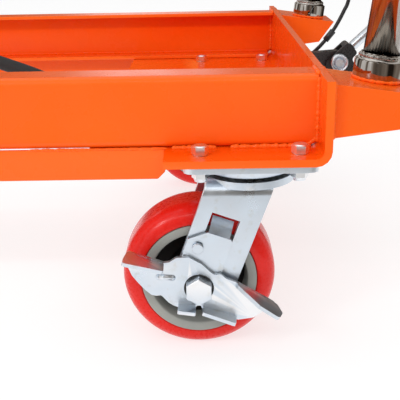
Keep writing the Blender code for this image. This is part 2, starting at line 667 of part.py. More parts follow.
def build_fixed_caster(label, x, y):
    """A caster without swivel: legs straight down from the mounting plate."""
    base = empty_at(label + "_fixed_base", x, y, 0)
    axle = empty_at(label + "_axle", 0, 0, AXLE_Z, base)
    middle = FORK_INNER_WIDTH / 2 + FORK_THICKNESS / 2
    plate_low = CASTER_HEIGHT - GAP - TOP_PLATE_THICKNESS
    crown = plate_low + MM - FORK_THICKNESS / 2
    path = folded([(-middle, AXLE_Z - LEG_FOOT - 20 * MM), (-middle, crown), (middle, crown),
                   (middle, AXLE_Z - LEG_FOOT - 20 * MM)], FORK_BEND)
    fork = bent_sheet(label + "_fork", path, FORK_THICKNESS, -0.1, 0.1)
    corners = [(-RIGID_LEG_HALF, crown + 0.01), (-RIGID_LEG_HALF, AXLE_Z),
               (-0.5 * RIGID_LEG_HALF, AXLE_Z - LEG_FOOT), (0.5 * RIGID_LEG_HALF, AXLE_Z - LEG_FOOT),
               (RIGID_LEG_HALF, AXLE_Z), (RIGID_LEG_HALF, crown + 0.01)]
    boolean(fork, side_plate(label + "_fork_side", rounded(corners, 8 * MM), 2 * LEG_OUTER + 0.02, 0), "INTERSECT")
    half_x, half_y = TOP_PLATE_LENGTH / 2, TOP_PLATE_WIDTH / 2
    outline = rounded([(-half_x, -half_y), (half_x, -half_y), (half_x, half_y), (-half_x, half_y)], 9 * MM)
    deck = flat_plate(label + "_mounting_plate", outline, TOP_PLATE_THICKNESS)
    deck.data.transform(Matrix.Translation((0, 0, plate_low + TOP_PLATE_THICKNESS / 2)))
    boolean(fork, deck, "UNION")
    for sx in (-1, 1):
        for sy in (-1, 1):
            place = (sx * BOLT_SPACING_X / 2, sy * BOLT_SPACING_Y / 2)
            boolean(fork, cylinder(f"{label}_bolt_hole_{sx}_{sy}", BOLT_HOLE / 2,
                                   (*place, CASTER_HEIGHT - 0.012), (*place, CASTER_HEIGHT + 0.01), TINY_ROUND),
                    "DIFFERENCE")
    boolean(fork, cylinder(label + "_axle_hole", AXLE_DIAMETER / 2 + GAP, (0, -0.06, AXLE_Z), (0, 0.06, AXLE_Z)),
            "DIFFERENCE")
    put(fork, ZINC, base)
    build_wheel(label, axle)
    build_axle(label, axle, LEG_OUTER + GAP, LEG_OUTER + GAP)


# Frame

def build_rails():
    middle_web = WEB_OUTER - RAIL_SHEET / 2
    flange_edge = WEB_OUTER - RAIL_FLANGE
    low = PAD_TOP_Z + GAP + RAIL_SHEET / 2
    high = RAIL_TOP_Z - RAIL_SHEET / 2
    start = RAIL_MIDDLE_X - RAIL_LENGTH / 2
    for label, side in (("left", -1), ("right", 1)):
        path = folded([(side * flange_edge, high), (side * middle_web, high), (side * middle_web, low),
                       (side * flange_edge, low)], RAIL_BEND)
        rail = bent_sheet(label + "_rail", path, RAIL_SHEET, start, start + RAIL_LENGTH)
        for end, inward in ((start, 1), (start + RAIL_LENGTH, -1)):
            outside = end - inward * MM
            bottom = PAD_TOP_Z - MM
            notch = side_plate(f"{label}_notch_{inward}", [(outside, bottom), (outside, bottom + RAIL_NOTCH),
                                                           (outside + inward * RAIL_NOTCH, bottom)],
                               FRAME_OUTER_WIDTH, side * WEB_OUTER)
            boolean(rail, notch, "DIFFERENCE")
        put(rail, ORANGE, location=(0, CENTRE_Y, 0), smooth=True)
        skirt_y = side * (WEB_OUTER - SKIRT_SHEET / 2)
        ends = FRONT_AXIS_X + PAD_BEHIND + GAP, REAR_AXIS_X - PAD_BEHIND - GAP
        bottom = PAD_TOP_Z - SKIRT_DROP
        outline = [(ends[0], PAD_TOP_Z), (ends[0], bottom + SKIRT_CHAMFER), (ends[0] + SKIRT_CHAMFER, bottom),
                   (ends[1] - SKIRT_CHAMFER, bottom), (ends[1], bottom + SKIRT_CHAMFER), (ends[1], PAD_TOP_Z)]
        put(side_plate(label + "_skirt", outline, SKIRT_SHEET, skirt_y), ORANGE, location=(0, CENTRE_Y, 0))


def build_end(label, end_x, inward, axis_x):
    """One folded cross plate: the upright end plate and the deck that carries two casters."""
    upright = end_x + inward * PLATE_SHEET / 2
    level = PAD_UNDER_Z + PLATE_SHEET / 2
    pad_edge = axis_x + inward * PAD_BEHIND
    path = folded([(upright, END_TOP_Z), (upright, level), (pad_edge, level)], PLATE_BEND)
    plate = bent_sheet(label + "_cross_plate", path, PLATE_SHEET, -HALF_WIDTH, HALF_WIDTH, along="Y")
    inner = axis_x + inward * INNER_DECK
    half = WEB_OUTER - SKIRT_SHEET - GAP
    xs = sorted((inner, pad_edge - inward * 5 * MM))
    deck = box(label + "_inner_deck", (xs[0], -half, PAD_UNDER_Z), (xs[1], half, PAD_TOP_Z))
    boolean(plate, deck, "UNION")
    for side in (-1, 1):
        for sx in (-1, 1):
            for sy in (-1, 1):
                place = (axis_x + sx * BOLT_SPACING_X / 2, side * HALF_TRACK + sy * BOLT_SPACING_Y / 2)
                hole = cylinder(f"{label}_hole_{side}_{sx}_{sy}", BOLT_HOLE / 2, (*place, PAD_UNDER_Z - 5 * MM),
                                (*place, PAD_TOP_Z + 5 * MM), TINY_ROUND)
                boolean(plate, hole, "DIFFERENCE")
    put(plate, ORANGE, location=(0, CENTRE_Y, 0), smooth=True)


def arm_top(distance):
    """Height of an arm's top face at a distance from the end plate."""
    return ARM_TOP_Z - distance * math.tan(ARM_TOP_SLOPE)


def build_arms():
    for label, side in (("left", -1), ("right", 1)):
        root = REAR_END_X + GAP
        tip = REAR_END_X + ARM_LENGTH
        under_tip = tip - ARM_UNDERCUT
        low = ARM_TOP_Z - ARM_ROOT_HEIGHT
        low_tip = low + (under_tip - root) * math.tan(ARM_UNDER_SLOPE)
        outline = [(root, ARM_TOP_Z), (root, low), (under_tip, low_tip), (tip, arm_top(ARM_LENGTH))]
        arm = side_plate(label + "_arm", outline, ARM_WIDTH, side * ARM_CENTRE)
        wall = ARM_SHEET
        slope = (arm_top(ARM_LENGTH) - low_tip) / (tip - under_tip)
        hollow = [(root - MM, ARM_TOP_Z - wall), (root - MM, low - 5 * MM), (under_tip - wall, low - 5 * MM),
                  (under_tip - wall, low_tip), (tip - wall - wall / slope, arm_top(ARM_LENGTH) - wall)]
        boolean(arm, side_plate(label + "_arm_hollow", hollow, ARM_WIDTH - 2 * wall, side * ARM_CENTRE),
                "DIFFERENCE")
        put(arm, ORANGE, location=(0, CENTRE_Y, 0))


def handle_foot(side):
    """Where the handle's axis meets an arm's top, and the axis direction."""
    foot = Vector((REAR_END_X + COLLAR_FROM_PLATE, CENTRE_Y + side * HANDLE_SPACING / 2,
                   arm_top(COLLAR_FROM_PLATE) + COLLAR_LIFT))
    return foot, Vector((math.sin(HANDLE_TILT), 0, math.cos(HANDLE_TILT)))


def build_handle():
    for label, side in (("left", -1), ("right", 1)):
        foot, axis = handle_foot(side)
        bore = HANDLE_TUBE / 2 + GAP
        outer = COLLAR_DIAMETER / 2
        top = COLLAR_HEIGHT + COLLAR_SHOULDER
        neck = outer - 2 * MM
        collar = turned(label + "_collar", [(bore, top), (bore + 1.2 * MM, top), (outer - MM, COLLAR_HEIGHT + MM),
                                            (outer, COLLAR_HEIGHT), (outer, GAP), (neck, GAP),
                                            (neck, 2 * GAP - COLLAR_LIFT), (bore, 2 * GAP - COLLAR_LIFT)], 32)
        put(collar, CHROME, location=foot, rotation=(0, HANDLE_TILT, 0), smooth=True)
    left, axis = handle_foot(-1)
    right, _ = handle_foot(1)
    rise = (HANDLE_HEIGHT - HANDLE_TUBE / 2 - left.z) / axis.z
    lift = axis * (0.6 * MM)
    corner_left, corner_right = left + axis * rise, right + axis * rise
    half = (right.y - left.y) / 2
    middle = Vector((0, half, 0))
    flat = [(-half, 0), (-half, rise), (half, rise), (half, 0)]
    path = folded(flat, HANDLE_BEND, 8)
    centre = left + middle
    points = [tuple(centre + Vector((0, a, 0)) + axis * b) for a, b in path]
    points[0] = tuple(Vector(points[0]) + lift)
    points[-1] = tuple(Vector(points[-1]) + lift)
    bar = swept("handle_tube", points, HANDLE_TUBE)
    past = [Vector(points[0]) - axis * MM, *points[1:-1], Vector(points[-1]) - axis * MM]
    boolean(bar, swept("handle_bore", past, HANDLE_TUBE - 2 * HANDLE_WALL), "DIFFERENCE")
    put(bar, CHROME, smooth=True)
    return (corner_left + corner_right) / 2, axis


# Foot pump and pedal

def build_pump():
    start = REAR_END_X + GAP
    half = PUMP_WIDTH / 2
    body = box("pump_body", (start, -half, PUMP_BOTTOM), (start + PUMP_LENGTH, half, PUMP_TOP))
    wall_top = END_TOP_Z - 22 * MM
    foot = box("pump_flange", (start, -half, PUMP_TOP - MM), (start + 8 * MM, half, wall_top))
    boolean(body, foot, "UNION")
    lug_half = LEVER_MOUTH / 2 - MM
    lug = side_plate("pump_lug", rounded([(start, PEDAL_PIVOT_HEIGHT - 20 * MM),
                                          (PIVOT_X, PEDAL_PIVOT_HEIGHT - 11 * MM),
                                          (PIVOT_X + 10 * MM, PEDAL_PIVOT_HEIGHT - 8 * MM),
                                          (PIVOT_X + 10 * MM, PEDAL_PIVOT_HEIGHT + 6 * MM),
                                          (PIVOT_X, PEDAL_PIVOT_HEIGHT + 11 * MM),
                                          (start, PEDAL_PIVOT_HEIGHT + 8 * MM)], 4 * MM), 2 * lug_half, 0)
    boolean(body, lug, "UNION")
    pin = PEDAL_BOLT / 2 + GAP
    boolean(body, cylinder("lug_hole", pin, (PIVOT_X, -0.05, PEDAL_PIVOT_HEIGHT), (PIVOT_X, 0.05, PEDAL_PIVOT_HEIGHT)),
            "DIFFERENCE")
    piston_x = PIVOT_X + PISTON_FROM_PIVOT
    well = cylinder("piston_well", PISTON_DIAMETER / 2 + GAP, (piston_x, 0, PUMP_TOP - 28 * MM),
                    (piston_x, 0, PUMP_TOP + 20 * MM))
    boss = cylinder("piston_boss", PISTON_DIAMETER / 2 + 6 * MM, (piston_x, 0, PUMP_BOTTOM),
                    (piston_x, 0, PUMP_TOP), SMALL_ROUND)
    boolean(body, boss, "UNION")
    boolean(body, well, "DIFFERENCE")
    put(body, BLACK, location=(0, CENTRE_Y, 0))
    head = PEDAL_PIVOT_HEIGHT - NOSE - NOSE_RADIUS - 2 * GAP - PUMP_TOP
    piston = cylinder("pump_piston", PISTON_DIAMETER / 2, (0, 0, -20 * MM), (0, 0, head - MM), SMALL_ROUND)
    boolean(piston, cylinder("piston_head", PISTON_HEAD / 2, (0, 0, head - 4 * MM), (0, 0, head)), "UNION")
    put(piston, STEEL, location=(piston_x, CENTRE_Y, PUMP_TOP), smooth=True)


def pedal_point(along, across):
    """(x, z) from the pedal's pivot of a point given along and across the raised pedal rod."""
    return (along * math.cos(PEDAL_ANGLE) - across * math.sin(PEDAL_ANGLE),
            along * math.sin(PEDAL_ANGLE) + across * math.cos(PEDAL_ANGLE))


def build_pedal():
    pivot = empty_at("pedal_pivot", PIVOT_X, CENTRE_Y, PEDAL_PIVOT_HEIGHT)
    end = PEDAL_LEVER_END / MM
    upper = [(12, -6.5), (end, -6.5), (end, 9), (-9, 9), (-13, 6), (-13, -2)]
    low = -NOSE - NOSE_RADIUS
    nose = [(-6 * MM, low + 9 * MM), (6 * MM, low), (NOSE + NOSE_RADIUS, low),
            (NOSE + NOSE_RADIUS, -NOSE + NOSE_RADIUS)]
    outline = rounded([*[pedal_point(a * MM, b * MM) for a, b in upper], *nose], 4 * MM, 3)
    outer = LEVER_MOUTH / 2 + LEVER_EAR
    lever = side_plate("pedal_lever", outline, 2 * outer, 0)
    mouth = [pedal_point(a * MM, b * MM) for a, b in ((-45, -45), (13.5, -45), (13.5, 40), (-45, 40))]
    mouth_tool = side_plate("lever_mouth", mouth, LEVER_MOUTH, 0)
    pin = cylinder("lever_pin_hole", PEDAL_BOLT / 2 + GAP, (0, -0.05, 0), (0, 0.05, 0))
    for tool in (mouth_tool, pin):
        boolean(lever, tool, "DIFFERENCE")
    put(lever, BLACK, pivot)
    bolt = cylinder("pedal_bolt", PEDAL_BOLT / 2, (0, -outer - MM, 0), (0, outer + 4 * MM, 0))
    head = cylinder("pedal_bolt_head", 9 * MM, (0, -outer - GAP - 5 * MM, 0), (0, -outer - GAP, 0), SMALL_ROUND)
    boolean(bolt, head, "UNION")
    put(bolt, ZINC, pivot)
    first = pedal_point(PEDAL_LEVER_END + GAP, PEDAL_ROD_OFFSET)
    bend = pedal_point(PEDAL_LEVER_END + PEDAL_ROD_LENGTH, PEDAL_ROD_OFFSET)
    last = (bend[0] + 30 * MM, bend[1])
    points = [(x, 0, z) for x, z in folded([first, bend, last], 24 * MM, 5)]
    tube("pedal_rod", points, PEDAL_ROD, ZINC, pivot, resolution=3)
    low = (last[0] + GAP, -PEDAL_TREAD_WIDTH / 2, last[1] - PEDAL_TREAD_THICKNESS / 2)
    high = (low[0] + PEDAL_TREAD_LENGTH, PEDAL_TREAD_WIDTH / 2, low[2] + PEDAL_TREAD_THICKNESS)
    pad = box("pedal_tread", low, high)
    edge = pad.modifiers.new("edge", "BEVEL")
    edge.width = 5 * MM
    edge.segments = 2
    put(pad, RUBBER, pivot, smooth=True)


# Release lever, cable and hose

def build_release(bar, axis):
    """A clamp at the middle of the handle's bar, its finger lever, and the cable down to the pump."""
    inner = HANDLE_TUBE / 2 + GAP
    outer = inner + BRACKET_WALL
    place = bar + Vector((0, CABLE_Y, 0))
    half = BRACKET_WIDTH / 2
    clamp = cylinder("lever_clamp", outer, (0, -half, 0), (0, half, 0))
    drop = 31 * MM
    boolean(clamp, box("clamp_tongue", (-6 * MM, -half, -drop), (6 * MM, half, 0)), "UNION")
    boolean(clamp, cylinder("clamp_bore", inner, (0, -0.05, 0), (0, 0.05, 0)), "DIFFERENCE")
    mouth = HAND_LEVER_WIDTH / 2 + GAP
    boolean(clamp, box("clamp_mouth", (-0.02, -mouth, -drop - 0.01), (0.02, mouth, -outer - MM)), "DIFFERENCE")
    level = 6 * MM - drop
    boolean(clamp, cylinder("clamp_pin_hole", HAND_LEVER_PIN / 2 + GAP, (0, -0.05, level), (0, 0.05, level), TINY_ROUND),
            "DIFFERENCE")
    put(clamp, BLACK, location=place)
    pivot = empty_at("hand_lever_pivot", place.x, place.y, place.z + level)
    put(cylinder("hand_lever_pin", HAND_LEVER_PIN / 2, (0, -half - MM, 0), (0, half + MM, 0), TINY_ROUND), ZINC, pivot)
    reach = HAND_LEVER_LENGTH
    outline = rounded([(-7 * MM, -4 * MM), (-4 * MM, 4.5 * MM), (5 * MM, 4.5 * MM), (20 * MM, 1 * MM),
                       (reach, -14 * MM), (reach, -14 * MM - HAND_LEVER_THICKNESS), (20 * MM, -8 * MM)], 3 * MM, 2)
    lever = side_plate("hand_lever", outline, HAND_LEVER_WIDTH, 0)
    boolean(lever, cylinder("lever_pin_bore", HAND_LEVER_PIN / 2 + GAP, (0, -0.05, 0), (0, 0.05, 0), TINY_ROUND),
            "DIFFERENCE")
    put(lever, BLACK, pivot)
    return Vector((place.x, place.y, place.z - drop - GAP))


def build_cable(top):
    plane = CENTRE_Y + CABLE_Y
    start = REAR_END_X
    route = [(start + 16 * MM, plane - 12 * MM, PUMP_TOP + GAP + 1.5 * MM), (start + 13 * MM, plane, 180 * MM),
             (start + 17 * MM, plane, 197 * MM), (start + 31.5 * MM, plane, 212.5 * MM),
             (start + 44 * MM, plane, 228 * MM), (start + 54.5 * MM, plane, 248 * MM),
             (start + 60 * MM, plane, 264 * MM),
             (start + 73 * MM, plane, 330 * MM), (start + 92 * MM, plane, 470 * MM),
             (start + 110 * MM, plane + 6 * MM, 640 * MM),
             (top.x - 9 * MM, plane + 9 * MM, top.z - 140 * MM), (top.x - 9 * MM, plane + 9 * MM, top.z - 40 * MM),
             (top.x, plane + 9.5 * MM, top.z - 2.5 * MM)]
    tube("release_cable", smooth_path(route, 4), CABLE_DIAMETER, RUBBER)


def build_hose():
    y = CENTRE_Y
    low = PAD_UNDER_Z - 16 * MM
    front = FRONT_END_X + PLATE_SHEET
    route = [(REAR_END_X - 0.5 * MM, y, low), (REAR_AXIS_X, y, low), (REAR_AXIS_X - 110 * MM, y, low),
             (REAR_AXIS_X - 170 * MM, y, PAD_UNDER_Z + 6 * MM), (REAR_AXIS_X - 230 * MM, y, PAD_UNDER_Z + 31 * MM),
             (REAR_AXIS_X - 290 * MM, y, PAD_UNDER_Z + 48 * MM), (REAR_AXIS_X - 380 * MM, y, PAD_UNDER_Z + 46 * MM),
             (REAR_AXIS_X - 480 * MM, y, PAD_UNDER_Z + 36 * MM), (front + 100 * MM, y, PAD_TOP_Z + 27 * MM),
             (front + 65 * MM, y, PAD_TOP_Z + 26 * MM), (front + 34 * MM, y, PAD_TOP_Z + 26 * MM)]
    tube("hydraulic_hose", smooth_path(route, 4), HOSE_DIAMETER, RUBBER, resolution=3)
    face = front + GAP
    coupler = cylinder("hose_coupler", 12 * MM, (0, 0, 0), (33 * MM, 0, 0), SMALL_ROUND)
    boolean(coupler, hexagon("coupler_hex", 30 * MM, (0, 0, 0), (12 * MM, 0, 0)), "UNION")
    put(coupler, STEEL, location=(face, y, PAD_TOP_Z + 26 * MM))


build_rails()
build_end("rear", REAR_END_X, -1, REAR_AXIS_X)
build_end("front", FRONT_END_X, 1, FRONT_AXIS_X)
build_arms()
bar_middle, handle_axis = build_handle()
build_pump()
build_pedal()
cable_top = build_release(bar_middle, handle_axis)
build_cable(cable_top)
build_hose()
for caster_side, caster_y in (("left", CENTRE_Y - HALF_TRACK), ("right", CENTRE_Y + HALF_TRACK)):
    build_swivel_caster(caster_side + "_rear", REAR_AXIS_X, caster_y)
    build_fixed_caster(caster_side + "_front", FRONT_AXIS_X, caster_y)
bpy.context.view_layer.update()
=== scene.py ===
"""The looks of a push-handle dolly: powder-coated frame, zinc casters, red wheels and chromed handle.

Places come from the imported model's own boxes; sizes are in millimetres, turned to metres by MM.
"""

import math

import bmesh
import bpy
from mathutils import Matrix, Vector


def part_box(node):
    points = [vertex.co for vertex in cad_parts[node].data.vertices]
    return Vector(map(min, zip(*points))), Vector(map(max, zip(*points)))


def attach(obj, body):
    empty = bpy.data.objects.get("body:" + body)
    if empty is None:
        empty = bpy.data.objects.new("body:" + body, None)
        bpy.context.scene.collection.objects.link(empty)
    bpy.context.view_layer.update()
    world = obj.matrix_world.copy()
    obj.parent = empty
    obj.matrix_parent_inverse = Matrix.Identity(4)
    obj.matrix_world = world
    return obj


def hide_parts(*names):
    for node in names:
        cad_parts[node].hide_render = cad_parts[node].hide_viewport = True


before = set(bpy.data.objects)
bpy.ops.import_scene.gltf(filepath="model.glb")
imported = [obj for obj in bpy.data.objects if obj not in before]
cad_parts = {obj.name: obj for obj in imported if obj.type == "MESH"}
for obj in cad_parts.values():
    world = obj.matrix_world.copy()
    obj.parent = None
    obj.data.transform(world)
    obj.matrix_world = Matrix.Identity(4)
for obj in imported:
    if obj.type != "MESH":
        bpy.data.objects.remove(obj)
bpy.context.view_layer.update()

MM = 0.001
DEG = math.pi / 180

# Edges and rounds
SHEET_EDGE = 0.7 * MM  # broken edge of cut and pressed steel
ARM_EDGE = 1.6 * MM
BLOCK_EDGE = 1.2 * MM
NUT_EDGE = 0.4 * MM
WHEEL_STEPS = 96
SMALL_STEPS = 48
SAME_POINT = 0.01 * MM
WELD_SEED = 7

# Casters
AXLE_HEIGHT = 63.5 * MM
TREAD_ROUND = 15 * MM
BOLT_SPACING_X = 76.2 * MM
BOLT_SPACING_Y = 68 * MM
BOLT_FLATS = 12 * MM
BOLT_HEAD = 6 * MM
NUT_TALL = 8.5 * MM
PLATE_UNDER = 162 * MM
PAD_TOP = 173 * MM
RACE_RADIUS = 36.5 * MM
BALL_RING = 31 * MM  # radius of the circle of balls
BALL = 2.5 * MM
RIM_FACE = 7 * MM  # width of the grey ring on the wheel's face
HUB = 23 * MM
HALF_RIM = 25.8 * MM
HALF_HUB = 26 * MM
HUB_BORE = 15.3 * MM
SLEEVE_BORE = 6.3 * MM
SLEEVE = 15 * MM
LEVER_SHEET = 3.5 * MM
EAR_SHEET = 3 * MM
LEVER_EYE = 12.1 * MM
PEDAL_RIB = 2.6 * MM

# Frame
RAIL_SHEET = 4 * MM
PLATE_SHEET = 6 * MM
HANDLE_TILT = 7 * DEG
TUBE = 28 * MM
TUBE_BEND = 90 * MM
COLLAR = 39 * MM
COLLAR_TALL = 14 * MM
COLLAR_SHOULDER = 5 * MM
COLLAR_TOP = 15.5 * MM  # radius of the collar's upper rim

# Cable and hose
CABLE = 2 * MM
HOSE = 7 * MM
CABLE_PLANE = 30 * MM  # right of the middle
CABLE_CLIP = 3.4 * MM

# Camera, lights and room
CAMERA_FROM_NEAR_WHEEL = Vector((8.3, -590.7, 277.0)) * MM  # from the near braked wheel's middle
CAMERA_PITCH = 0.352
CAMERA_YAW = -0.0112
CAMERA_ROLL = -0.0190
CAMERA_LENS = 68.39
FLOOR_GLOW = 0.66
ROOM_LIGHT = 0.74
TENT_RADIUS = 0.8
TENT_HEIGHT = 1.2


def linear(colour):
    """A hex sRGB colour as linear red, green, blue and alpha."""
    parts = [int(colour[k:k + 2], 16) / 255 for k in (1, 3, 5)]
    return (*[c / 12.92 if c <= 0.04045 else ((c + 0.055) / 1.055) ** 2.4 for c in parts], 1)


def add(tree, kind, settings=None, inputs=None):
    """Adds a node with its settings; each input takes a value or the socket that feeds it."""
    made = tree.nodes.new(kind)
    for name, value in (settings or {}).items():
        setattr(made, name, value)
    for name, value in (inputs or {}).items():
        if isinstance(value, bpy.types.NodeSocket):
            tree.links.new(value, made.inputs[name])
        else:
            made.inputs[name].default_value = value
    return made


# Finishes

def new_finish(name, **values):
    """A material, its tree, its shader and the socket of Object coordinates."""
    finish = bpy.data.materials.new(name)
    finish.use_nodes = True
    tree = finish.node_tree
    shader = tree.nodes["Principled BSDF"]
    for socket, value in values.items():
        shader.inputs[socket.replace("_", " ")].default_value = value
    place = add(tree, "ShaderNodeTexCoord").outputs["Object"]
    return finish, tree, shader, place


def finished(finish, tree, shader, colour, rough, relief=None):
    """Links a finish's colour, roughness and relief to its shader."""
    tree.links.new(colour.outputs[2], shader.inputs["Base Color"])
    tree.links.new(rough.outputs["Result"], shader.inputs["Roughness"])
    if relief:
        tree.links.new(relief.outputs["Normal"], shader.inputs["Normal"])
    return finish


def orange_powder_coat():
    """Powder coat cured on welded steel: glossy, a fine orange peel, and a painted highlight of paler orange
    along the edges.
    """
    finish, tree, shader, place = new_finish("orange_powder_coat_on_steel", IOR=1.45, Coat_Weight=0.2,
                                             Coat_Roughness=0.06, Specular_IOR_Level=0.15)
    drift = add(tree, "ShaderNodeTexNoise", inputs={"Vector": place, "Scale": 1000 / 90, "Detail": 3})
    peel = add(tree, "ShaderNodeTexNoise", inputs={"Vector": place, "Scale": 1000 / 2.5, "Detail": 2})
    runs = add(tree, "ShaderNodeTexNoise", inputs={"Vector": place, "Scale": 1000 / 25, "Detail": 4})
    tint = add(tree, "ShaderNodeMix", {"data_type": "RGBA"},
               {0: drift.outputs["Fac"], 6: linear("#F04C02"), 7: linear("#FA5C04")})
    # Painted highlight: convex edges are mixed towards a paler orange.
    edge = add(tree, "ShaderNodeMapRange", inputs={
        "Value": add(tree, "ShaderNodeNewGeometry").outputs["Pointiness"],
        "From Min": 0.53, "From Max": 0.62, "To Min": 0.0, "To Max": 0.7})
    edge_painted_highlight = add(tree, "ShaderNodeMix", {"data_type": "RGBA"},
               {0: edge.outputs["Result"], 6: tint.outputs[2], 7: linear("#FF8434")})
    shine = add(tree, "ShaderNodeMapRange", inputs={
        "Value": runs.outputs["Fac"], "From Min": 0.3, "From Max": 0.7, "To Min": 0.2, "To Max": 0.34})
    height = add(tree, "ShaderNodeMath", {"operation": "MULTIPLY_ADD"},
                 {0: runs.outputs["Fac"], 1: 3.0, 2: peel.outputs["Fac"]})
    bump = add(tree, "ShaderNodeBump", inputs={
        "Height": height.outputs[0], "Strength": 0.12, "Distance": 0.08 * MM})
    return finished(finish, tree, shader, edge_painted_highlight, shine, bump)


def bright_zinc():
    """Clear-passivated zinc on pressed steel: pale blue-white, cloudy, with faint yellow and grey stains."""
    finish, tree, shader, place = new_finish("bright_zinc_plate_on_pressed_steel", Metallic=1.0)
    cloud = add(tree, "ShaderNodeTexNoise", inputs={
        "Vector": place, "Scale": 1000 / 28, "Detail": 4, "Distortion": 0.6})
    stain = add(tree, "ShaderNodeTexNoise", inputs={"Vector": place, "Scale": 1000 / 9, "Detail": 5})
    grain = add(tree, "ShaderNodeTexNoise", inputs={"Vector": place, "Scale": 1000 / 1.2, "Detail": 3})
    pale = add(tree, "ShaderNodeMix", {"data_type": "RGBA"},
               {0: cloud.outputs["Fac"], 6: linear("#CBD8E4"), 7: linear("#E6EDF4")})
    spots = add(tree, "ShaderNodeMapRange", inputs={
        "Value": stain.outputs["Fac"], "From Min": 0.58, "From Max": 0.75, "To Min": 0.0, "To Max": 0.45})
    stained = add(tree, "ShaderNodeMix", {"data_type": "RGBA"},
                  {0: spots.outputs["Result"], 6: pale.outputs[2], 7: linear("#B9B6A6")})
    edge = add(tree, "ShaderNodeMapRange", inputs={
        "Value": add(tree, "ShaderNodeNewGeometry").outputs["Pointiness"],
        "From Min": 0.54, "From Max": 0.64, "To Min": 0.0, "To Max": 0.8})
    rubbed = add(tree, "ShaderNodeMix", {"data_type": "RGBA"},
                 {0: edge.outputs["Result"], 6: stained.outputs[2], 7: linear("#FDFDFD")})
    rough = add(tree, "ShaderNodeMapRange", inputs={
        "Value": cloud.outputs["Fac"], "From Min": 0.3, "From Max": 0.7, "To Min": 0.26, "To Max": 0.42})
    bump = add(tree, "ShaderNodeBump", inputs={
        "Height": grain.outputs["Fac"], "Strength": 0.2, "Distance": 0.05 * MM})
    wave = add(tree, "ShaderNodeBump", inputs={"Height": cloud.outputs["Fac"], "Strength": 0.3,
                                               "Distance": 0.3 * MM, "Normal": bump.outputs["Normal"]})
    return finished(finish, tree, shader, rubbed, rough, wave)


def chrome_plate():
    """Bright chrome on drawn tube: a near mirror with faint handling marks, and lengthwise streaks of darker
    and lighter chrome that are partly polishing lines and partly painted reflection bands.
    """
    finish, tree, shader, place = new_finish("bright_chrome_plate_on_tube", Metallic=1.0)
    marks = add(tree, "ShaderNodeTexNoise", inputs={"Vector": place, "Scale": 1000 / 14, "Detail": 5})
    polish_and_painted_reflection_stretch = add(tree, "ShaderNodeMapping", inputs={"Vector": place, "Scale": (1, 1, 0.03)})
    lines = add(tree, "ShaderNodeTexNoise", inputs={
        "Vector": polish_and_painted_reflection_stretch.outputs["Vector"], "Scale": 1000 / 1.5, "Detail": 2})
    rough = add(tree, "ShaderNodeMapRange", inputs={
        "Value": marks.outputs["Fac"], "From Min": 0.4, "From Max": 0.75, "To Min": 0.06, "To Max": 0.16})
    # Painted reflection: the streaks swing the colour between darker and lighter chrome, standing in for
    # reflection bands as well as polishing lines.
    tint = add(tree, "ShaderNodeMix", {"data_type": "RGBA"},
               {0: lines.outputs["Fac"], 6: linear("#938C84"), 7: linear("#C4BFB9")})
    return finished(finish, tree, shader, tint, rough)


def machined_steel():
    """Turned or ground bare steel, oiled: mid grey, brushed, a little brown in places."""
    finish, tree, shader, place = new_finish("machined_steel_oiled", Metallic=1.0)
    marks = add(tree, "ShaderNodeTexNoise", inputs={"Vector": place, "Scale": 1000 / 6, "Detail": 5})
    lines = add(tree, "ShaderNodeTexNoise", inputs={"Vector": place, "Scale": 1000 / 0.8, "Detail": 2})
    tint = add(tree, "ShaderNodeMix", {"data_type": "RGBA"},
               {0: marks.outputs["Fac"], 6: linear("#7C7873"), 7: linear("#A9A8A6")})
    rough = add(tree, "ShaderNodeMapRange", inputs={
        "Value": marks.outputs["Fac"], "To Min": 0.25, "To Max": 0.5})
    bump = add(tree, "ShaderNodeBump", inputs={
        "Height": lines.outputs["Fac"], "Strength": 0.15, "Distance": 0.05 * MM})
    return finished(finish, tree, shader, tint, rough, bump)


def red_polyurethane():
    """Cast polyurethane, moulded glossy: deep red with light under the skin, scuffed where it rolls."""
    finish, tree, shader, place = new_finish(
        "cast_red_polyurethane", IOR=1.45, Specular_IOR_Level=0.2, Subsurface_Weight=0.08,
        Subsurface_Scale=2 * MM, Coat_Weight=0.25, Coat_Roughness=0.08)
    shader.inputs["Subsurface Radius"].default_value = (1.0, 0.2, 0.1)
    cloud = add(tree, "ShaderNodeTexNoise", inputs={"Vector": place, "Scale": 1000 / 35, "Detail": 3})
    scuff = add(tree, "ShaderNodeTexNoise", inputs={"Vector": place, "Scale": 1000 / 3, "Detail": 6})
    tint = add(tree, "ShaderNodeMix", {"data_type": "RGBA"},
               {0: cloud.outputs["Fac"], 6: linear("#D0170F"), 7: linear("#E4241A")})
    dust = add(tree, "ShaderNodeMapRange", inputs={
        "Value": scuff.outputs["Fac"], "From Min": 0.6, "From Max": 0.8, "To Min": 0.0, "To Max": 0.05})
    dusty = add(tree, "ShaderNodeMix", {"data_type": "RGBA"},
                {0: dust.outputs["Result"], 6: tint.outputs[2], 7: linear("#C77A70")})
    rough = add(tree, "ShaderNodeMapRange", inputs={
        "Value": scuff.outputs["Fac"], "From Min": 0.35, "From Max": 0.75, "To Min": 0.22, "To Max": 0.4})
    bump = add(tree, "ShaderNodeBump", inputs={
        "Height": scuff.outputs["Fac"], "Strength": 0.05, "Distance": 0.06 * MM})
    return finished(finish, tree, shader, dusty, rough, bump)


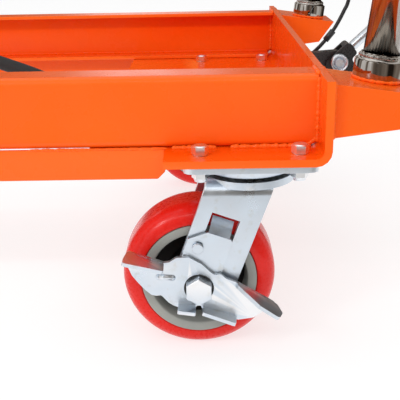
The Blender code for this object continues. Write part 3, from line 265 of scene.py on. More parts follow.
def cast_iron_paint(name, dark, light, grain_mm):
    """Paint on sand-cast iron: matt, with the sand's grain showing through."""
    finish, tree, shader, place = new_finish(name, IOR=1.5, Specular_IOR_Level=0.25)
    grain = add(tree, "ShaderNodeTexNoise", inputs={"Vector": place, "Scale": 1000 / grain_mm, "Detail": 5})
    patches = add(tree, "ShaderNodeTexNoise", inputs={"Vector": place, "Scale": 1000 / 18, "Detail": 3})
    tint = add(tree, "ShaderNodeMix", {"data_type": "RGBA"},
               {0: patches.outputs["Fac"], 6: linear(dark), 7: linear(light)})
    rough = add(tree, "ShaderNodeMapRange", inputs={
        "Value": grain.outputs["Fac"], "To Min": 0.4, "To Max": 0.7})
    bump = add(tree, "ShaderNodeBump", inputs={
        "Height": grain.outputs["Fac"], "Strength": 0.4, "Distance": 0.25 * MM})
    return finished(finish, tree, shader, tint, rough, bump)


def black_finish(name, dark, light, grain_mm, low_rough, high_rough, depth_mm):
    """Black paint, rubber or cable sheath: near black, greyer where it is rubbed on the edges."""
    finish, tree, shader, place = new_finish(name, IOR=1.5)
    grain = add(tree, "ShaderNodeTexNoise", inputs={"Vector": place, "Scale": 1000 / grain_mm, "Detail": 4})
    edge = add(tree, "ShaderNodeMapRange", inputs={
        "Value": add(tree, "ShaderNodeNewGeometry").outputs["Pointiness"],
        "From Min": 0.52, "From Max": 0.64, "To Min": 0.0, "To Max": 0.6})
    rubbed = add(tree, "ShaderNodeMath", {"operation": "MULTIPLY_ADD", "use_clamp": True},
                 {0: grain.outputs["Fac"], 1: 0.35, 2: edge.outputs["Result"]})
    tint = add(tree, "ShaderNodeMix", {"data_type": "RGBA"},
               {0: rubbed.outputs[0], 6: linear(dark), 7: linear(light)})
    rough = add(tree, "ShaderNodeMapRange", inputs={
        "Value": grain.outputs["Fac"], "From Min": 0.3, "From Max": 0.7,
        "To Min": low_rough, "To Max": high_rough})
    bump = add(tree, "ShaderNodeBump", inputs={
        "Height": grain.outputs["Fac"], "Strength": 0.3, "Distance": depth_mm * MM})
    return finished(finish, tree, shader, tint, rough, bump)


POWDER_COAT = orange_powder_coat()
ZINC = bright_zinc()
CHROME = chrome_plate()
STEEL = machined_steel()
POLYURETHANE = red_polyurethane()
IRON_RIM = cast_iron_paint("grey_paint_on_cast_iron", "#91928D", "#A5A69F", 1.2)
# Painted shade: near black standing for the deep shadow inside the wheel core's recess.
RECESS_PAINTED_SHADE = cast_iron_paint("recess_painted_shade_on_cast_iron", "#120F0E", "#211D1B", 1.5)
BLACK_PAINT = black_finish("black_gloss_paint_on_steel", "#0C0C0D", "#4A4A4C", 2.0, 0.22, 0.4, 0.06)
RUBBER = black_finish("black_moulded_rubber", "#131313", "#3A3A3A", 1.0, 0.55, 0.75, 0.15)
SHEATH = black_finish("black_cable_sheath", "#0E0E10", "#38383A", 1.6, 0.3, 0.45, 0.05)
NYLON = black_finish("blue_white_nylon_insert", "#A9B7C6", "#E4EAF0", 2.0, 0.35, 0.5, 0.05)


# Making pieces

def linked(name, mesh):
    """An object in the scene for a mesh or a curve."""
    obj = bpy.data.objects.new(name, mesh)
    bpy.context.scene.collection.objects.link(obj)
    return obj


def from_bmesh(name, shape):
    """An object from a bmesh, with its faces turned outwards."""
    mesh = bpy.data.meshes.new(name)
    bmesh.ops.recalc_face_normals(shape, faces=shape.faces)
    shape.to_mesh(mesh)
    shape.free()
    return linked(name, mesh)


def plain(obj):
    """The object with its modifiers worked into a plain mesh."""
    bpy.context.view_layer.update()
    seen = obj.evaluated_get(bpy.context.evaluated_depsgraph_get())
    mesh = bpy.data.meshes.new_from_object(seen)
    name = obj.name
    bpy.data.objects.remove(obj)
    made = linked(name, mesh)
    made.name = name
    return made


def fixed(obj, angle=35, flat_faces=False):
    """A plain mesh, smooth but for its sharp edges; large faces can keep their shading flat."""
    made = plain(obj)
    made.data.shade_smooth()
    made.data.set_sharp_from_angle(angle=angle * DEG)
    if flat_faces:
        even = made.modifiers.new("flat faces", "WEIGHTED_NORMAL")
        even.weight = 100
        even.keep_sharp = True
        made = plain(made)
    return made


def merged(mesh):
    """Joins a mesh's doubled corners and turns its faces outwards."""
    shape = bmesh.new()
    shape.from_mesh(mesh)
    bmesh.ops.remove_doubles(shape, verts=shape.verts, dist=SAME_POINT)
    bmesh.ops.recalc_face_normals(shape, faces=shape.faces)
    shape.to_mesh(mesh)
    shape.free()


def with_edges(obj, edge, segments=2, angle=35, source=None):
    """Merges doubles, dissolves flat seams and breaks the sharp edges of its mesh or a source's."""
    shape = bmesh.new()
    shape.from_mesh(source or obj.data)
    bmesh.ops.remove_doubles(shape, verts=shape.verts, dist=SAME_POINT)
    bmesh.ops.dissolve_limit(shape, angle_limit=1 * DEG, verts=shape.verts, edges=shape.edges)
    shape.to_mesh(obj.data)
    shape.free()
    broken = obj.modifiers.new("broken edge", "BEVEL")
    broken.width = edge
    broken.segments = segments
    broken.limit_method = "ANGLE"
    broken.angle_limit = 40 * DEG
    return fixed(obj, angle, True)


def give(obj, body, finish, slot, *stands_for):
    """Hands a finished piece over: its material, the body it moves with and the nodes it stands for."""
    if not obj.data.materials:
        obj.data.materials.append(finish)
    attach(obj, body)
    if stands_for:
        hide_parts(*stands_for)
    return obj


def dressed(node, body, finish, slot, edge, segments=2, angle=35):
    """A node's own shape with its edges broken."""
    obj = linked(node + "_finish", bpy.data.meshes.new(node + "_finish"))
    made = with_edges(obj, edge, segments, angle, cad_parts[node].data)
    return give(made, body, finish, slot, node)


def lathe(name, profile, steps, centre, axis=(0, 0, 1), finishes=None):
    """A ring turned about an axis from a closed profile of (radius, height, finish number)."""
    turn = Vector(axis).to_track_quat("Z", "Y").to_matrix().to_4x4()
    shape = bmesh.new()
    rings = []
    for k in range(steps):
        angle = 2 * math.pi * k / steps
        rings.append([shape.verts.new((p[0] * math.cos(angle), p[0] * math.sin(angle), p[1]))
                      for p in profile])
    count = len(profile)
    for k in range(steps):
        here, after = rings[k], rings[(k + 1) % steps]
        for i in range(count):
            face = shape.faces.new((here[i], here[(i + 1) % count], after[(i + 1) % count], after[i]))
            face.material_index = profile[i][2] if len(profile[i]) > 2 else 0
    shape.transform(Matrix.Translation(Vector(centre)) @ turn)
    obj = from_bmesh(name, shape)
    for finish in finishes or ():
        obj.data.materials.append(finish)
    return fixed(obj)


def swept(name, points, radius, sides):
    """A round bar through points, closed at both ends."""
    curve = bpy.data.curves.new(name, "CURVE")
    curve.dimensions = "3D"
    curve.bevel_depth = radius
    curve.bevel_resolution = sides // 4
    curve.use_fill_caps = True
    spline = curve.splines.new("POLY")
    spline.points.add(len(points) - 1)
    for point, place in zip(spline.points, points):
        point.co = (*place, 1)
    obj = fixed(linked(name, curve))
    merged(obj.data)
    return obj


def smooth_path(points, per_span=8):
    """Points of a smooth curve through a route."""
    route = [Vector(p) for p in points]
    route = [2 * route[0] - route[1], *route, 2 * route[-1] - route[-2]]
    out = []
    for a, b, c, d in zip(route, route[1:], route[2:], route[3:]):
        for k in range(per_span):
            t = k / per_span
            out.append(0.5 * (2 * b + (c - a) * t + (2 * a - 5 * b + 4 * c - d) * t * t
                              + (3 * b - a - 3 * c + d) * t ** 3))
    return [*out, route[-2]]


def plate(name, outline, thickness, matrix, hole=None):
    """A flat outline thickened along its own Z and set in place by a matrix."""
    curve = bpy.data.curves.new(name, "CURVE")
    curve.dimensions = "2D"
    curve.fill_mode = "BOTH"
    curve.extrude = thickness / 2
    for ring in (outline, hole) if hole else (outline,):
        spline = curve.splines.new("POLY")
        spline.points.add(len(ring) - 1)
        for point, (x, y) in zip(spline.points, ring):
            point.co = (x, y, 0, 1)
        spline.use_cyclic_u = True
    obj = fixed(linked(name, curve))
    obj.data.transform(matrix)
    merged(obj.data)
    return obj


def rounded(points, radius, steps=5):
    """A closed outline with its corners rounded."""
    out = []
    for i, corner in enumerate(points):
        corner = Vector(corner)
        before, after = Vector(points[i - 1]) - corner, Vector(points[(i + 1) % len(points)]) - corner
        reach = min(radius / math.tan(before.angle(after) / 2), 0.45 * min(before.length, after.length))
        first, last = corner + before.normalized() * reach, corner + after.normalized() * reach
        for k in range(steps + 1):
            t = k / steps
            out.append(tuple(first * (1 - t) ** 2 + corner * 2 * t * (1 - t) + last * t ** 2))
    return out


def joined(base, *others):
    """Solids joined into one by a Boolean."""
    for other in others:
        union = base.modifiers.new("joined", "BOOLEAN")
        union.operation = "UNION"
        union.solver = "EXACT"
        union.object = other
    made = fixed(base)
    for other in others:
        bpy.data.objects.remove(other)
    return made


# Repeats, each made by a tree of nodes

def new_tree(name, sizes):
    """A geometry tree with a geometry input and the named size inputs."""
    tree = bpy.data.node_groups.new(name, "GeometryNodeTree")
    tree.interface.new_socket(name="Geometry", in_out="INPUT", socket_type="NodeSocketGeometry")
    for label in sizes:
        tree.interface.new_socket(name=label, in_out="INPUT", socket_type="NodeSocketFloat")
    tree.interface.new_socket(name="Geometry", in_out="OUTPUT", socket_type="NodeSocketGeometry")
    return tree, tree.nodes.new("NodeGroupInput").outputs


def close_tree(tree, geometry, finish):
    """Ends a tree in real geometry that carries its finish."""
    real = add(tree, "GeometryNodeRealizeInstances", inputs={"Geometry": geometry})
    painted = add(tree, "GeometryNodeSetMaterial", inputs={"Geometry": real.outputs[0], "Material": finish})
    add(tree, "NodeGroupOutput", inputs={0: painted.outputs[0]})
    return tree


def grown(name, tree, points, sizes, edges=()):
    """The plain mesh that a tree grows on points or on a path."""
    mesh = bpy.data.meshes.new(name)
    mesh.from_pydata([tuple(p) for p in points], list(edges), [])
    obj = linked(name, mesh)
    change = obj.modifiers.new("grown", "NODES")
    change.node_group = tree
    for item in tree.interface.items_tree:
        if item.in_out == "INPUT" and item.name in sizes:
            change[item.identifier] = sizes[item.name]
    return fixed(obj)


def weld_tree():
    """Overlapping flattened ripples laid along a path: a hand-run weld bead under paint."""
    tree, given = new_tree("weld_bead", ("Pitch", "Width"))
    path = add(tree, "GeometryNodeMeshToCurve", inputs={"Mesh": given["Geometry"]})
    steps = add(tree, "GeometryNodeResampleCurve", {"mode": "LENGTH"},
                {"Curve": path.outputs[0], "Length": given["Pitch"]})
    ripple = add(tree, "GeometryNodeMeshUVSphere", inputs={"Segments": 12, "Rings": 7, "Radius": 1.0})
    facing = add(tree, "FunctionNodeAlignRotationToVector", {"axis": "X"},
                 {"Vector": add(tree, "GeometryNodeInputTangent").outputs[0]})
    uneven = add(tree, "FunctionNodeRandomValue", {"data_type": "FLOAT"},
                 {2: 0.75, 3: 1.25, "Seed": WELD_SEED, "ID": add(tree, "GeometryNodeInputIndex").outputs[0]})
    across = add(tree, "ShaderNodeMath", {"operation": "MULTIPLY"},
                 {0: uneven.outputs[1], 1: given["Width"]})
    along = add(tree, "ShaderNodeMath", {"operation": "MULTIPLY"}, {0: given["Pitch"], 1: 1.25})
    scale = add(tree, "ShaderNodeCombineXYZ", inputs={
        "X": along.outputs[0], "Y": across.outputs[0], "Z": across.outputs[0]})
    beads = add(tree, "GeometryNodeInstanceOnPoints",
                inputs={"Points": steps.outputs[0], "Instance": ripple.outputs[0],
                        "Rotation": facing.outputs[0], "Scale": scale.outputs[0]})
    return tree, beads.outputs[0]


def hexagon_tree(name, finish):
    """A hexagon with a chamfered crown on a washer, at every point, standing along +Z."""
    tree, given = new_tree(name, ("Flats", "Height", "Washer", "Crown"))
    corner = add(tree, "ShaderNodeMath", {"operation": "MULTIPLY"}, {0: given["Flats"], 1: 1 / math.sqrt(3)})
    half = add(tree, "ShaderNodeMath", {"operation": "MULTIPLY"}, {0: given["Height"], 1: 0.5})
    block = add(tree, "GeometryNodeMeshCylinder", inputs={
        "Vertices": 6, "Radius": corner.outputs[0], "Depth": given["Height"]})
    seated = add(tree, "GeometryNodeTransform", inputs={
        "Geometry": block.outputs[0],
        "Translation": add(tree, "ShaderNodeCombineXYZ", inputs={"Z": half.outputs[0]}).outputs[0]})
    inner = add(tree, "ShaderNodeMath", {"operation": "MULTIPLY"}, {0: given["Flats"], 1: 0.49})
    top = add(tree, "ShaderNodeMath", {"operation": "MULTIPLY"}, {0: given["Flats"], 1: 0.4})
    crown = add(tree, "GeometryNodeMeshCone", inputs={
        "Vertices": 24, "Radius Top": top.outputs[0], "Radius Bottom": inner.outputs[0],
        "Depth": given["Crown"]})
    capped = add(tree, "GeometryNodeTransform", inputs={
        "Geometry": crown.outputs[0],
        "Translation": add(tree, "ShaderNodeCombineXYZ", inputs={"Z": given["Height"]}).outputs[0]})
    washer = add(tree, "GeometryNodeMeshCylinder", inputs={
        "Vertices": 32, "Radius": given["Washer"], "Depth": 1.4 * MM})
    both = add(tree, "GeometryNodeJoinGeometry")
    for part in (seated, capped, washer):
        tree.links.new(part.outputs[0], both.inputs[0])
    placed = add(tree, "GeometryNodeInstanceOnPoints",
                 inputs={"Points": given["Geometry"], "Instance": both.outputs[0]})
    return close_tree(tree, placed.outputs[0], finish)


def ball_tree():
    """Bearing balls set round a circle at every point."""
    tree, given = new_tree("bearing_balls", ("Ring", "Ball"))
    circle = add(tree, "GeometryNodeMeshCircle", inputs={"Vertices": 26, "Radius": given["Ring"]})
    ball = add(tree, "GeometryNodeMeshUVSphere", inputs={"Segments": 14, "Rings": 8, "Radius": given["Ball"]})
    ring = add(tree, "GeometryNodeInstanceOnPoints", inputs={
        "Points": circle.outputs[0], "Instance": ball.outputs[0]})
    placed = add(tree, "GeometryNodeInstanceOnPoints", inputs={
        "Points": given["Geometry"], "Instance": ring.outputs[0]})
    return close_tree(tree, placed.outputs[0], STEEL)


def rib_tree():
    """Grip ribs, one at every point, lying along Y."""
    tree, given = new_tree("grip_ribs", ("Length", "Width"))
    bar = add(tree, "GeometryNodeMeshCylinder", inputs={
        "Vertices": 12, "Radius": given["Width"], "Depth": given["Length"]})
    lying = add(tree, "GeometryNodeTransform", inputs={
        "Geometry": bar.outputs[0], "Rotation": (math.pi / 2, 0, 0)})
    placed = add(tree, "GeometryNodeInstanceOnPoints", inputs={
        "Points": given["Geometry"], "Instance": lying.outputs[0]})
    return close_tree(tree, placed.outputs[0], RUBBER)


# Frame

def middle(node):
    """The middle of a node's box."""
    low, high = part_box(node)
    return (low + high) / 2


END_LOW, END_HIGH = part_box("rear_cross_plate")
CENTRE_Y = (END_LOW.y + END_HIGH.y) / 2
END_X = END_HIGH.x
FRONT_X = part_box("front_cross_plate")[0].x
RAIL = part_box("left_rail")
WEB = CENTRE_Y - RAIL[0].y
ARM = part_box("left_arm")
ARM_FAR = CENTRE_Y - ARM[0].y
ARM_NEAR = CENTRE_Y - ARM[1].y

for label in ("left", "right"):
    dressed(label + "_rail", "chassis", POWDER_COAT, "orange_powder_coat", SHEET_EDGE)
    dressed(label + "_skirt", "chassis", POWDER_COAT, "orange_powder_coat", SHEET_EDGE)
    dressed(label + "_arm", "chassis", POWDER_COAT, "orange_powder_coat", ARM_EDGE, 3)
for label in ("rear", "front"):
    dressed(label + "_cross_plate", "chassis", POWDER_COAT, "orange_powder_coat", SHEET_EDGE)


def weld_lines():
    """Where the frame is welded: each line's points."""
    lines = []
    inner = END_X - PLATE_SHEET
    front = FRONT_X + PLATE_SHEET
    rail_low, rail_high = RAIL[0].z, RAIL[1].z
    for side in (-1, 1):
        web, inside = CENTRE_Y + side * (WEB + 0.5 * MM), CENTRE_Y + side * (WEB - RAIL_SHEET - 0.5 * MM)
        tip = CENTRE_Y + side * (WEB - 28 * MM)
        for x, way in ((inner, -1), (front, 1)):
            root = x + way * 0.7 * MM
            lines.append([(root, web, rail_low + 6 * MM), (root, web, rail_high - 5 * MM)])
            lines.append([(root, inside, rail_low + 8 * MM), (root, inside, rail_high - 6 * MM)])
            lines.append([(root, CENTRE_Y + side * (WEB - 5 * MM), rail_high + 0.2 * MM),
                          (root, tip, rail_high + 0.2 * MM)])
            lines.append([(root, web - side * MM, rail_low + 8 * MM),
                          (x + way * 4 * MM, web - side * MM, rail_low + 4 * MM),
                          (x + way * 9 * MM, web - side * MM, rail_low + MM)])
            lines.append([(x + way * 8 * MM, web, rail_low + 0.8 * MM),
                          (x + way * 66 * MM, web, rail_low + 0.6 * MM)])
            lines.append([(x + way * 82 * MM, web, rail_low + 0.4 * MM),
                          (x + way * 112 * MM, web, rail_low + 0.4 * MM)])
            lines.append([(x + way * 10 * MM, tip, rail_low + 0.5 * MM),
                          (x + way * 60 * MM, tip, rail_low + 0.5 * MM)])
        outer, near = CENTRE_Y + side * (ARM_FAR + 0.4 * MM), CENTRE_Y + side * (ARM_NEAR - 0.4 * MM)
        foot = END_X + 0.8 * MM
        low, high = ARM[0].z, ARM[1].z
        lines.append([(foot, outer, low + 2 * MM), (foot, outer, high - MM)])
        lines.append([(foot, near, low + 2 * MM), (foot, near, high - MM)])
        lines.append([(foot, outer, high + 0.2 * MM), (foot, near, high + 0.2 * MM)])
    return lines


def run_welds(name, lines, pitch, width, finish):
    """Beads of weld along lines of points, as one mesh."""
    points, edges = [], []
    for line in lines:
        for k, place in enumerate(line):
            points.append(Vector(place))
            if k:
                edges.append((len(points) - 2, len(points) - 1))
    tree, beads = weld_tree()
    close_tree(tree, beads, finish)
    return grown(name, tree, points, {"Pitch": pitch, "Width": width}, edges)


give(run_welds("frame_welds", weld_lines(), 2.2 * MM, 1.9 * MM, POWDER_COAT), "chassis", POWDER_COAT,
     "orange_powder_coat")
seams = []
for side in (-1, 1):
    y = CENTRE_Y + side * (WEB - 0.6 * MM)
    z = RAIL[0].z - 0.2 * MM
    for begin, end in ((FRONT_X + 150 * MM, FRONT_X + 260 * MM), (END_X - 230 * MM, END_X - 128 * MM)):
        seams.append([(begin, y, z), (end, y, z)])
give(run_welds("skirt_welds", seams, 3 * MM, 1.2 * MM, POWDER_COAT), "chassis", POWDER_COAT,
     "orange_powder_coat")

# Caster bolts through the pads, their nuts below
bolt_points = []
for x in (middle("left_rear_top_plate").x, middle("left_front_fork").x):
    for side in ("left", "right"):
        y = middle(side + "_rear_top_plate").y
        bolt_points += [Vector((x + sx * BOLT_SPACING_X / 2, y + sy * BOLT_SPACING_Y / 2, PAD_TOP + 0.8 * MM))
                        for sx in (-1, 1) for sy in (-1, 1)]
head_tree = hexagon_tree("pad_bolt_head", ZINC)
give(grown("pad_bolt_heads", head_tree, bolt_points,
           {"Flats": BOLT_FLATS, "Height": BOLT_HEAD, "Washer": 0.52 * BOLT_FLATS, "Crown": 0.8 * MM}),
     "chassis", ZINC, "zinc_plate")
nuts = grown("pad_bolt_nuts", head_tree, [Vector((p.x, p.y, -(PLATE_UNDER - 0.8 * MM))) for p in bolt_points],
             {"Flats": BOLT_FLATS, "Height": 0.75 * NUT_TALL, "Washer": 0.66 * BOLT_FLATS, "Crown": 3 * MM})
nuts.data.transform(Matrix.Scale(-1, 4, Vector((0, 0, 1))))
nuts.data.flip_normals()
give(nuts, "chassis", ZINC, "zinc_plate")

# Handle
TUBE_LOW, TUBE_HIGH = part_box("handle_tube")
for side, label in ((-1, "left"), (1, "right")):
    low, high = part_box(label + "_collar")
    centre_y = (low.y + high.y) / 2
    axis = Vector((math.sin(HANDLE_TILT), 0, math.cos(HANDLE_TILT)))
    foot = Vector((low.x + COLLAR / 2 * math.cos(HANDLE_TILT), centre_y,
                   high.z - (COLLAR_TALL + COLLAR_SHOULDER) * math.cos(HANDLE_TILT)
                   - COLLAR_TOP * math.sin(HANDLE_TILT)))
    bore, outer, top = TUBE / 2 + 0.2 * MM, COLLAR / 2, COLLAR_TALL + COLLAR_SHOULDER
    neck = -1.4 * MM
    profile = [(bore, neck), (outer - 2 * MM, neck), (outer - 2 * MM, 0.3 * MM), (outer - 0.8 * MM, 0.3 * MM),
               (outer - 0.2 * MM, 0.5 * MM), (outer, 1.1 * MM),
               (outer, COLLAR_TALL - 1.2 * MM), (outer - 0.4 * MM, COLLAR_TALL - 0.3 * MM),
               (outer - 1.4 * MM, COLLAR_TALL), (bore + 2.5 * MM, COLLAR_TALL + 1.6 * MM),
               (bore + 1.2 * MM, top), (bore, top)]
    give(lathe(label + "_collar_turned", profile, 64, foot, axis), "chassis", CHROME, "chrome_plate",
         label + "_collar")
    turn = axis.to_track_quat("Z", "Y").to_matrix()
    for where, level, reach, finish, slot in (
            ("top", COLLAR_TALL + 2.6 * MM, bore + 1.2 * MM, CHROME, "chrome_plate"),
            ("foot", -0.6 * MM, outer - 0.9 * MM, POWDER_COAT, "orange_powder_coat")):
        ring = [foot + axis * level + turn @ Vector((math.cos(a), math.sin(a), 0)) * reach
                for a in (2 * math.pi * k / 32 for k in range(33))]
        give(run_welds(f"{label}_collar_{where}_weld", [ring], 2.4 * MM, 1.5 * MM, finish), "chassis",
             finish, slot)


def handle_points():
    """The U of the handle: up one leg, round both bends and down the other."""
    axis = Vector((math.sin(HANDLE_TILT), 0, math.cos(HANDLE_TILT)))
    low = Vector((TUBE_LOW.x + TUBE / 2 * math.cos(HANDLE_TILT), TUBE_LOW.y + TUBE / 2,
                  TUBE_LOW.z + TUBE / 2 * math.sin(HANDLE_TILT)))
    rise = (TUBE_HIGH.z - TUBE / 2 - low.z) / axis.z
    span = TUBE_HIGH.y - TUBE_LOW.y - TUBE
    out = [low]
    for begin, corner in ((math.pi, TUBE_BEND), (math.pi / 2, span - TUBE_BEND)):
        for k in range(25):
            angle = begin - math.pi / 2 * k / 24
            out.append(low + Vector((0, corner + TUBE_BEND * math.cos(angle), 0))
                       + axis * (rise - TUBE_BEND + TUBE_BEND * math.sin(angle)))
    return [*out, low + Vector((0, span, 0))]


give(swept("handle_tube_chromed", handle_points(), TUBE / 2, 64), "chassis", CHROME, "chrome_plate",
     "handle_tube")

# Foot pump and pedal
dressed("pump_body", "chassis", BLACK_PAINT, "black_paint", BLOCK_EDGE, 3)
dressed("pump_piston", "piston", STEEL, "plain_steel", NUT_EDGE)
dressed("pedal_lever", "pedal", BLACK_PAINT, "black_paint", 0.8 * MM, 3)
bolt_low, bolt_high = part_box("pedal_bolt")
bolt_length, head = bolt_high.y - bolt_low.y, 5 * MM
bolt_profile = [(0.1 * MM, 0.4 * MM), (4.2 * MM, 0.4 * MM), (5 * MM, 1.2 * MM), (5.4 * MM, 2.4 * MM),
                (6.6 * MM, 2.4 * MM), (7 * MM, 0.5 * MM), (8 * MM, 0), (8.6 * MM, 0.3 * MM),
                (9 * MM, 1.2 * MM), (9 * MM, head),
                (6 * MM, head), (6 * MM, bolt_length - MM), (5 * MM, bolt_length), (0.1 * MM, bolt_length)]
give(lathe("pedal_bolt_turned", bolt_profile, SMALL_STEPS,
           (middle("pedal_bolt").x, bolt_low.y, middle("pedal_bolt").z), (0, 1, 0)), "chassis", ZINC,
     "zinc_plate", "pedal_bolt")
dressed("pedal_rod", "pedal", ZINC, "zinc_plate", 0.8 * MM, 2)
dressed("pedal_tread", "pedal", RUBBER, "black_rubber", 0.3 * MM)
tread_low, tread_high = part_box("pedal_tread")
ribs = [Vector((tread_low.x + (8 + 8 * k) * MM, CENTRE_Y, tread_high.z)) for k in range(6)]
give(grown("pedal_tread_ribs", rib_tree(), ribs, {"Length": tread_high.y - tread_low.y - 14 * MM,
                                                  "Width": 1.4 * MM}), "pedal", RUBBER, "black_rubber")

# Release lever, cable and hose
dressed("lever_clamp", "chassis", BLACK_PAINT, "black_paint", 0.6 * MM)
dressed("hand_lever", "release", BLACK_PAINT, "black_paint", 1.2 * MM, 3)
dressed("hand_lever_pin", "chassis", ZINC, "zinc_plate", NUT_EDGE)
dressed("hose_coupler", "chassis", STEEL, "plain_steel", 0.6 * MM)


def cable_route():
    """The release cable, from the pump's valve up between the handle's legs to the lever."""
    plane = CENTRE_Y + CABLE_PLANE
    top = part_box("lever_clamp")[0].z - 0.3 * MM
    lever_x = middle("hand_lever_pin").x
    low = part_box("release_cable")[0].z
    return [(END_X + 16 * MM, plane - 12 * MM, low + 2 * MM), (END_X + 13 * MM, plane, 180 * MM),
            (END_X + 17 * MM, plane, 197 * MM), (END_X + 31.5 * MM, plane, 212.5 * MM),
            (END_X + 44 * MM, plane, 228 * MM), (END_X + 54.5 * MM, plane, 248 * MM),
            (END_X + 60 * MM, plane, 264 * MM),
            (END_X + 73 * MM, plane, 330 * MM), (END_X + 92 * MM, plane, 470 * MM),
            (END_X + 110 * MM, plane + 6 * MM, 640 * MM),
            (lever_x - 9 * MM, plane + 9 * MM, top - 140 * MM),
            (lever_x - 9 * MM, plane + 9 * MM, top - 40 * MM),
            (lever_x, plane + 9.5 * MM, top - 2.5 * MM)]


def hose_route():
    """The hose, from the end plate under the pads, over the deck to its coupler at the front."""
    low = PLATE_UNDER - 11 * MM
    axis_x, front, deck = middle("left_rear_top_plate").x, FRONT_X + PLATE_SHEET, PAD_TOP - PLATE_SHEET
    return [(END_X - 0.5 * MM, CENTRE_Y, low), (axis_x, CENTRE_Y, low), (axis_x - 110 * MM, CENTRE_Y, low),
            (axis_x - 170 * MM, CENTRE_Y, deck + 6 * MM), (axis_x - 230 * MM, CENTRE_Y, deck + 31 * MM),
            (axis_x - 290 * MM, CENTRE_Y, deck + 48 * MM), (axis_x - 380 * MM, CENTRE_Y, deck + 46 * MM),
            (axis_x - 480 * MM, CENTRE_Y, deck + 36 * MM), (front + 100 * MM, CENTRE_Y, PAD_TOP + 27 * MM),
            (front + 65 * MM, CENTRE_Y, PAD_TOP + 26 * MM), (front + 34 * MM, CENTRE_Y, PAD_TOP + 26 * MM)]


give(swept("release_cable_sheath", smooth_path(cable_route()), CABLE, 16), "chassis", SHEATH, "black_cable",
     "release_cable")
give(swept("hydraulic_hose_cover", smooth_path(hose_route()), HOSE, 32), "chassis", RUBBER, "black_rubber",
     "hydraulic_hose")
clip = Vector((END_X + 40 * MM, CENTRE_Y + CABLE_PLANE, 222.6 * MM))
half_clip = Vector((4, 0, 5)) * MM
give(swept("cable_clip", [clip - half_clip, clip + half_clip], CABLE_CLIP, 24), "chassis", SHEATH,
     "black_cable")


# Casters

def tread_profile(width, radius, inner):
    """The tyre's section: crowned shoulders, a flat side and a small step where it meets the rim."""
    half = width / 2
    arc = [(radius - TREAD_ROUND * (1 - math.cos(a)), half - TREAD_ROUND * (1 - math.sin(a)))
           for a in (k * math.pi / 2 / 12 for k in range(12, -1, -1))]
    mirrored = [(r, -h) for r, h in reversed(arc)]
    return [(inner, half - 1.2 * MM), (inner + 0.8 * MM, half - 0.2 * MM), (inner + 1.6 * MM, half), *arc,
            *mirrored, (inner + 1.6 * MM, -half), (inner + 0.8 * MM, -half + 0.2 * MM),
            (inner, -half + 1.2 * MM)]


def core_profile(rim, recess, hub, half_rim, half_hub, bore):
    """The iron core: a grey face ring, and a recess with a raised hub coloured near black as painted shade of
    the deep recess.
    """
    half = [(bore, half_hub, 1), (hub - 1.2 * MM, half_hub, 1), (hub, half_hub - 1.2 * MM, 1),
            (hub + 2.5 * MM, 6 * MM, 1), (hub + 5 * MM, 4.6 * MM, 1), (recess - 5 * MM, 4.6 * MM, 1),
            (recess - 2 * MM, 7 * MM, 1), (recess - 0.6 * MM, half_rim - 1.5 * MM, 0),
            (recess, half_rim - 0.4 * MM, 0), (recess + 0.6 * MM, half_rim, 0), (rim, half_rim, 0)]
    return half + [(r, -h, m) for r, h, m in reversed(half)]


def dress_wheel(label, body):
    """A wheel's tyre, its iron core and its bearing sleeve."""
    low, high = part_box(label + "_tread")
    centre = (low + high) / 2
    radius, width = (high.z - low.z) / 2, high.y - low.y
    core_low, core_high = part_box(label + "_wheel_core")
    rim = (core_high.z - core_low.z) / 2
    give(lathe(label + "_tyre", tread_profile(width, radius, rim + 0.2 * MM), WHEEL_STEPS, centre, (0, 1, 0)),
         body, POLYURETHANE, "red_polyurethane", label + "_tread")
    # The recess and hub faces take the near-black painted shade finish.
    core = lathe(label + "_core_casting",
                 core_profile(rim, rim - RIM_FACE, HUB, HALF_RIM, HALF_HUB, HUB_BORE), WHEEL_STEPS, centre,
                 (0, 1, 0), (IRON_RIM, RECESS_PAINTED_SHADE))
    give(core, body, IRON_RIM, "painted_iron", label + "_wheel_core")
    hole, face = SLEEVE_BORE, HALF_HUB
    sleeve = [(hole, face), (9 * MM, face), (9.4 * MM, face - 0.8 * MM), (13.8 * MM, face - 0.8 * MM),
              (14.2 * MM, face), (SLEEVE, face), (SLEEVE, -face), (14.2 * MM, -face),
              (13.8 * MM, -face + 0.8 * MM), (9.4 * MM, -face + 0.8 * MM), (9 * MM, -face), (hole, -face)]
    give(lathe(label + "_bearing_turned", sleeve, SMALL_STEPS, centre, (0, 1, 0)), body, STEEL, "plain_steel",
         label + "_bearing")


def flap(name, start, end, outline, sheet):
    """A flap folded out of the lever plate along its edge from start to end: outline is
    (distance along the edge, depth towards the outside)."""
    start, end = Vector(start), Vector(end)
    along = (end - start).normalized()
    down = Vector((along.y, -along.x))
    matrix = Matrix(((along.x, 0, down.x, start.x + down.x * sheet / 2), (0, -1, 0, 0),
                     (along.y, 0, down.y, start.y + down.y * sheet / 2), (0, 0, 0, 1)))
    return plate(name, outline, sheet, matrix)


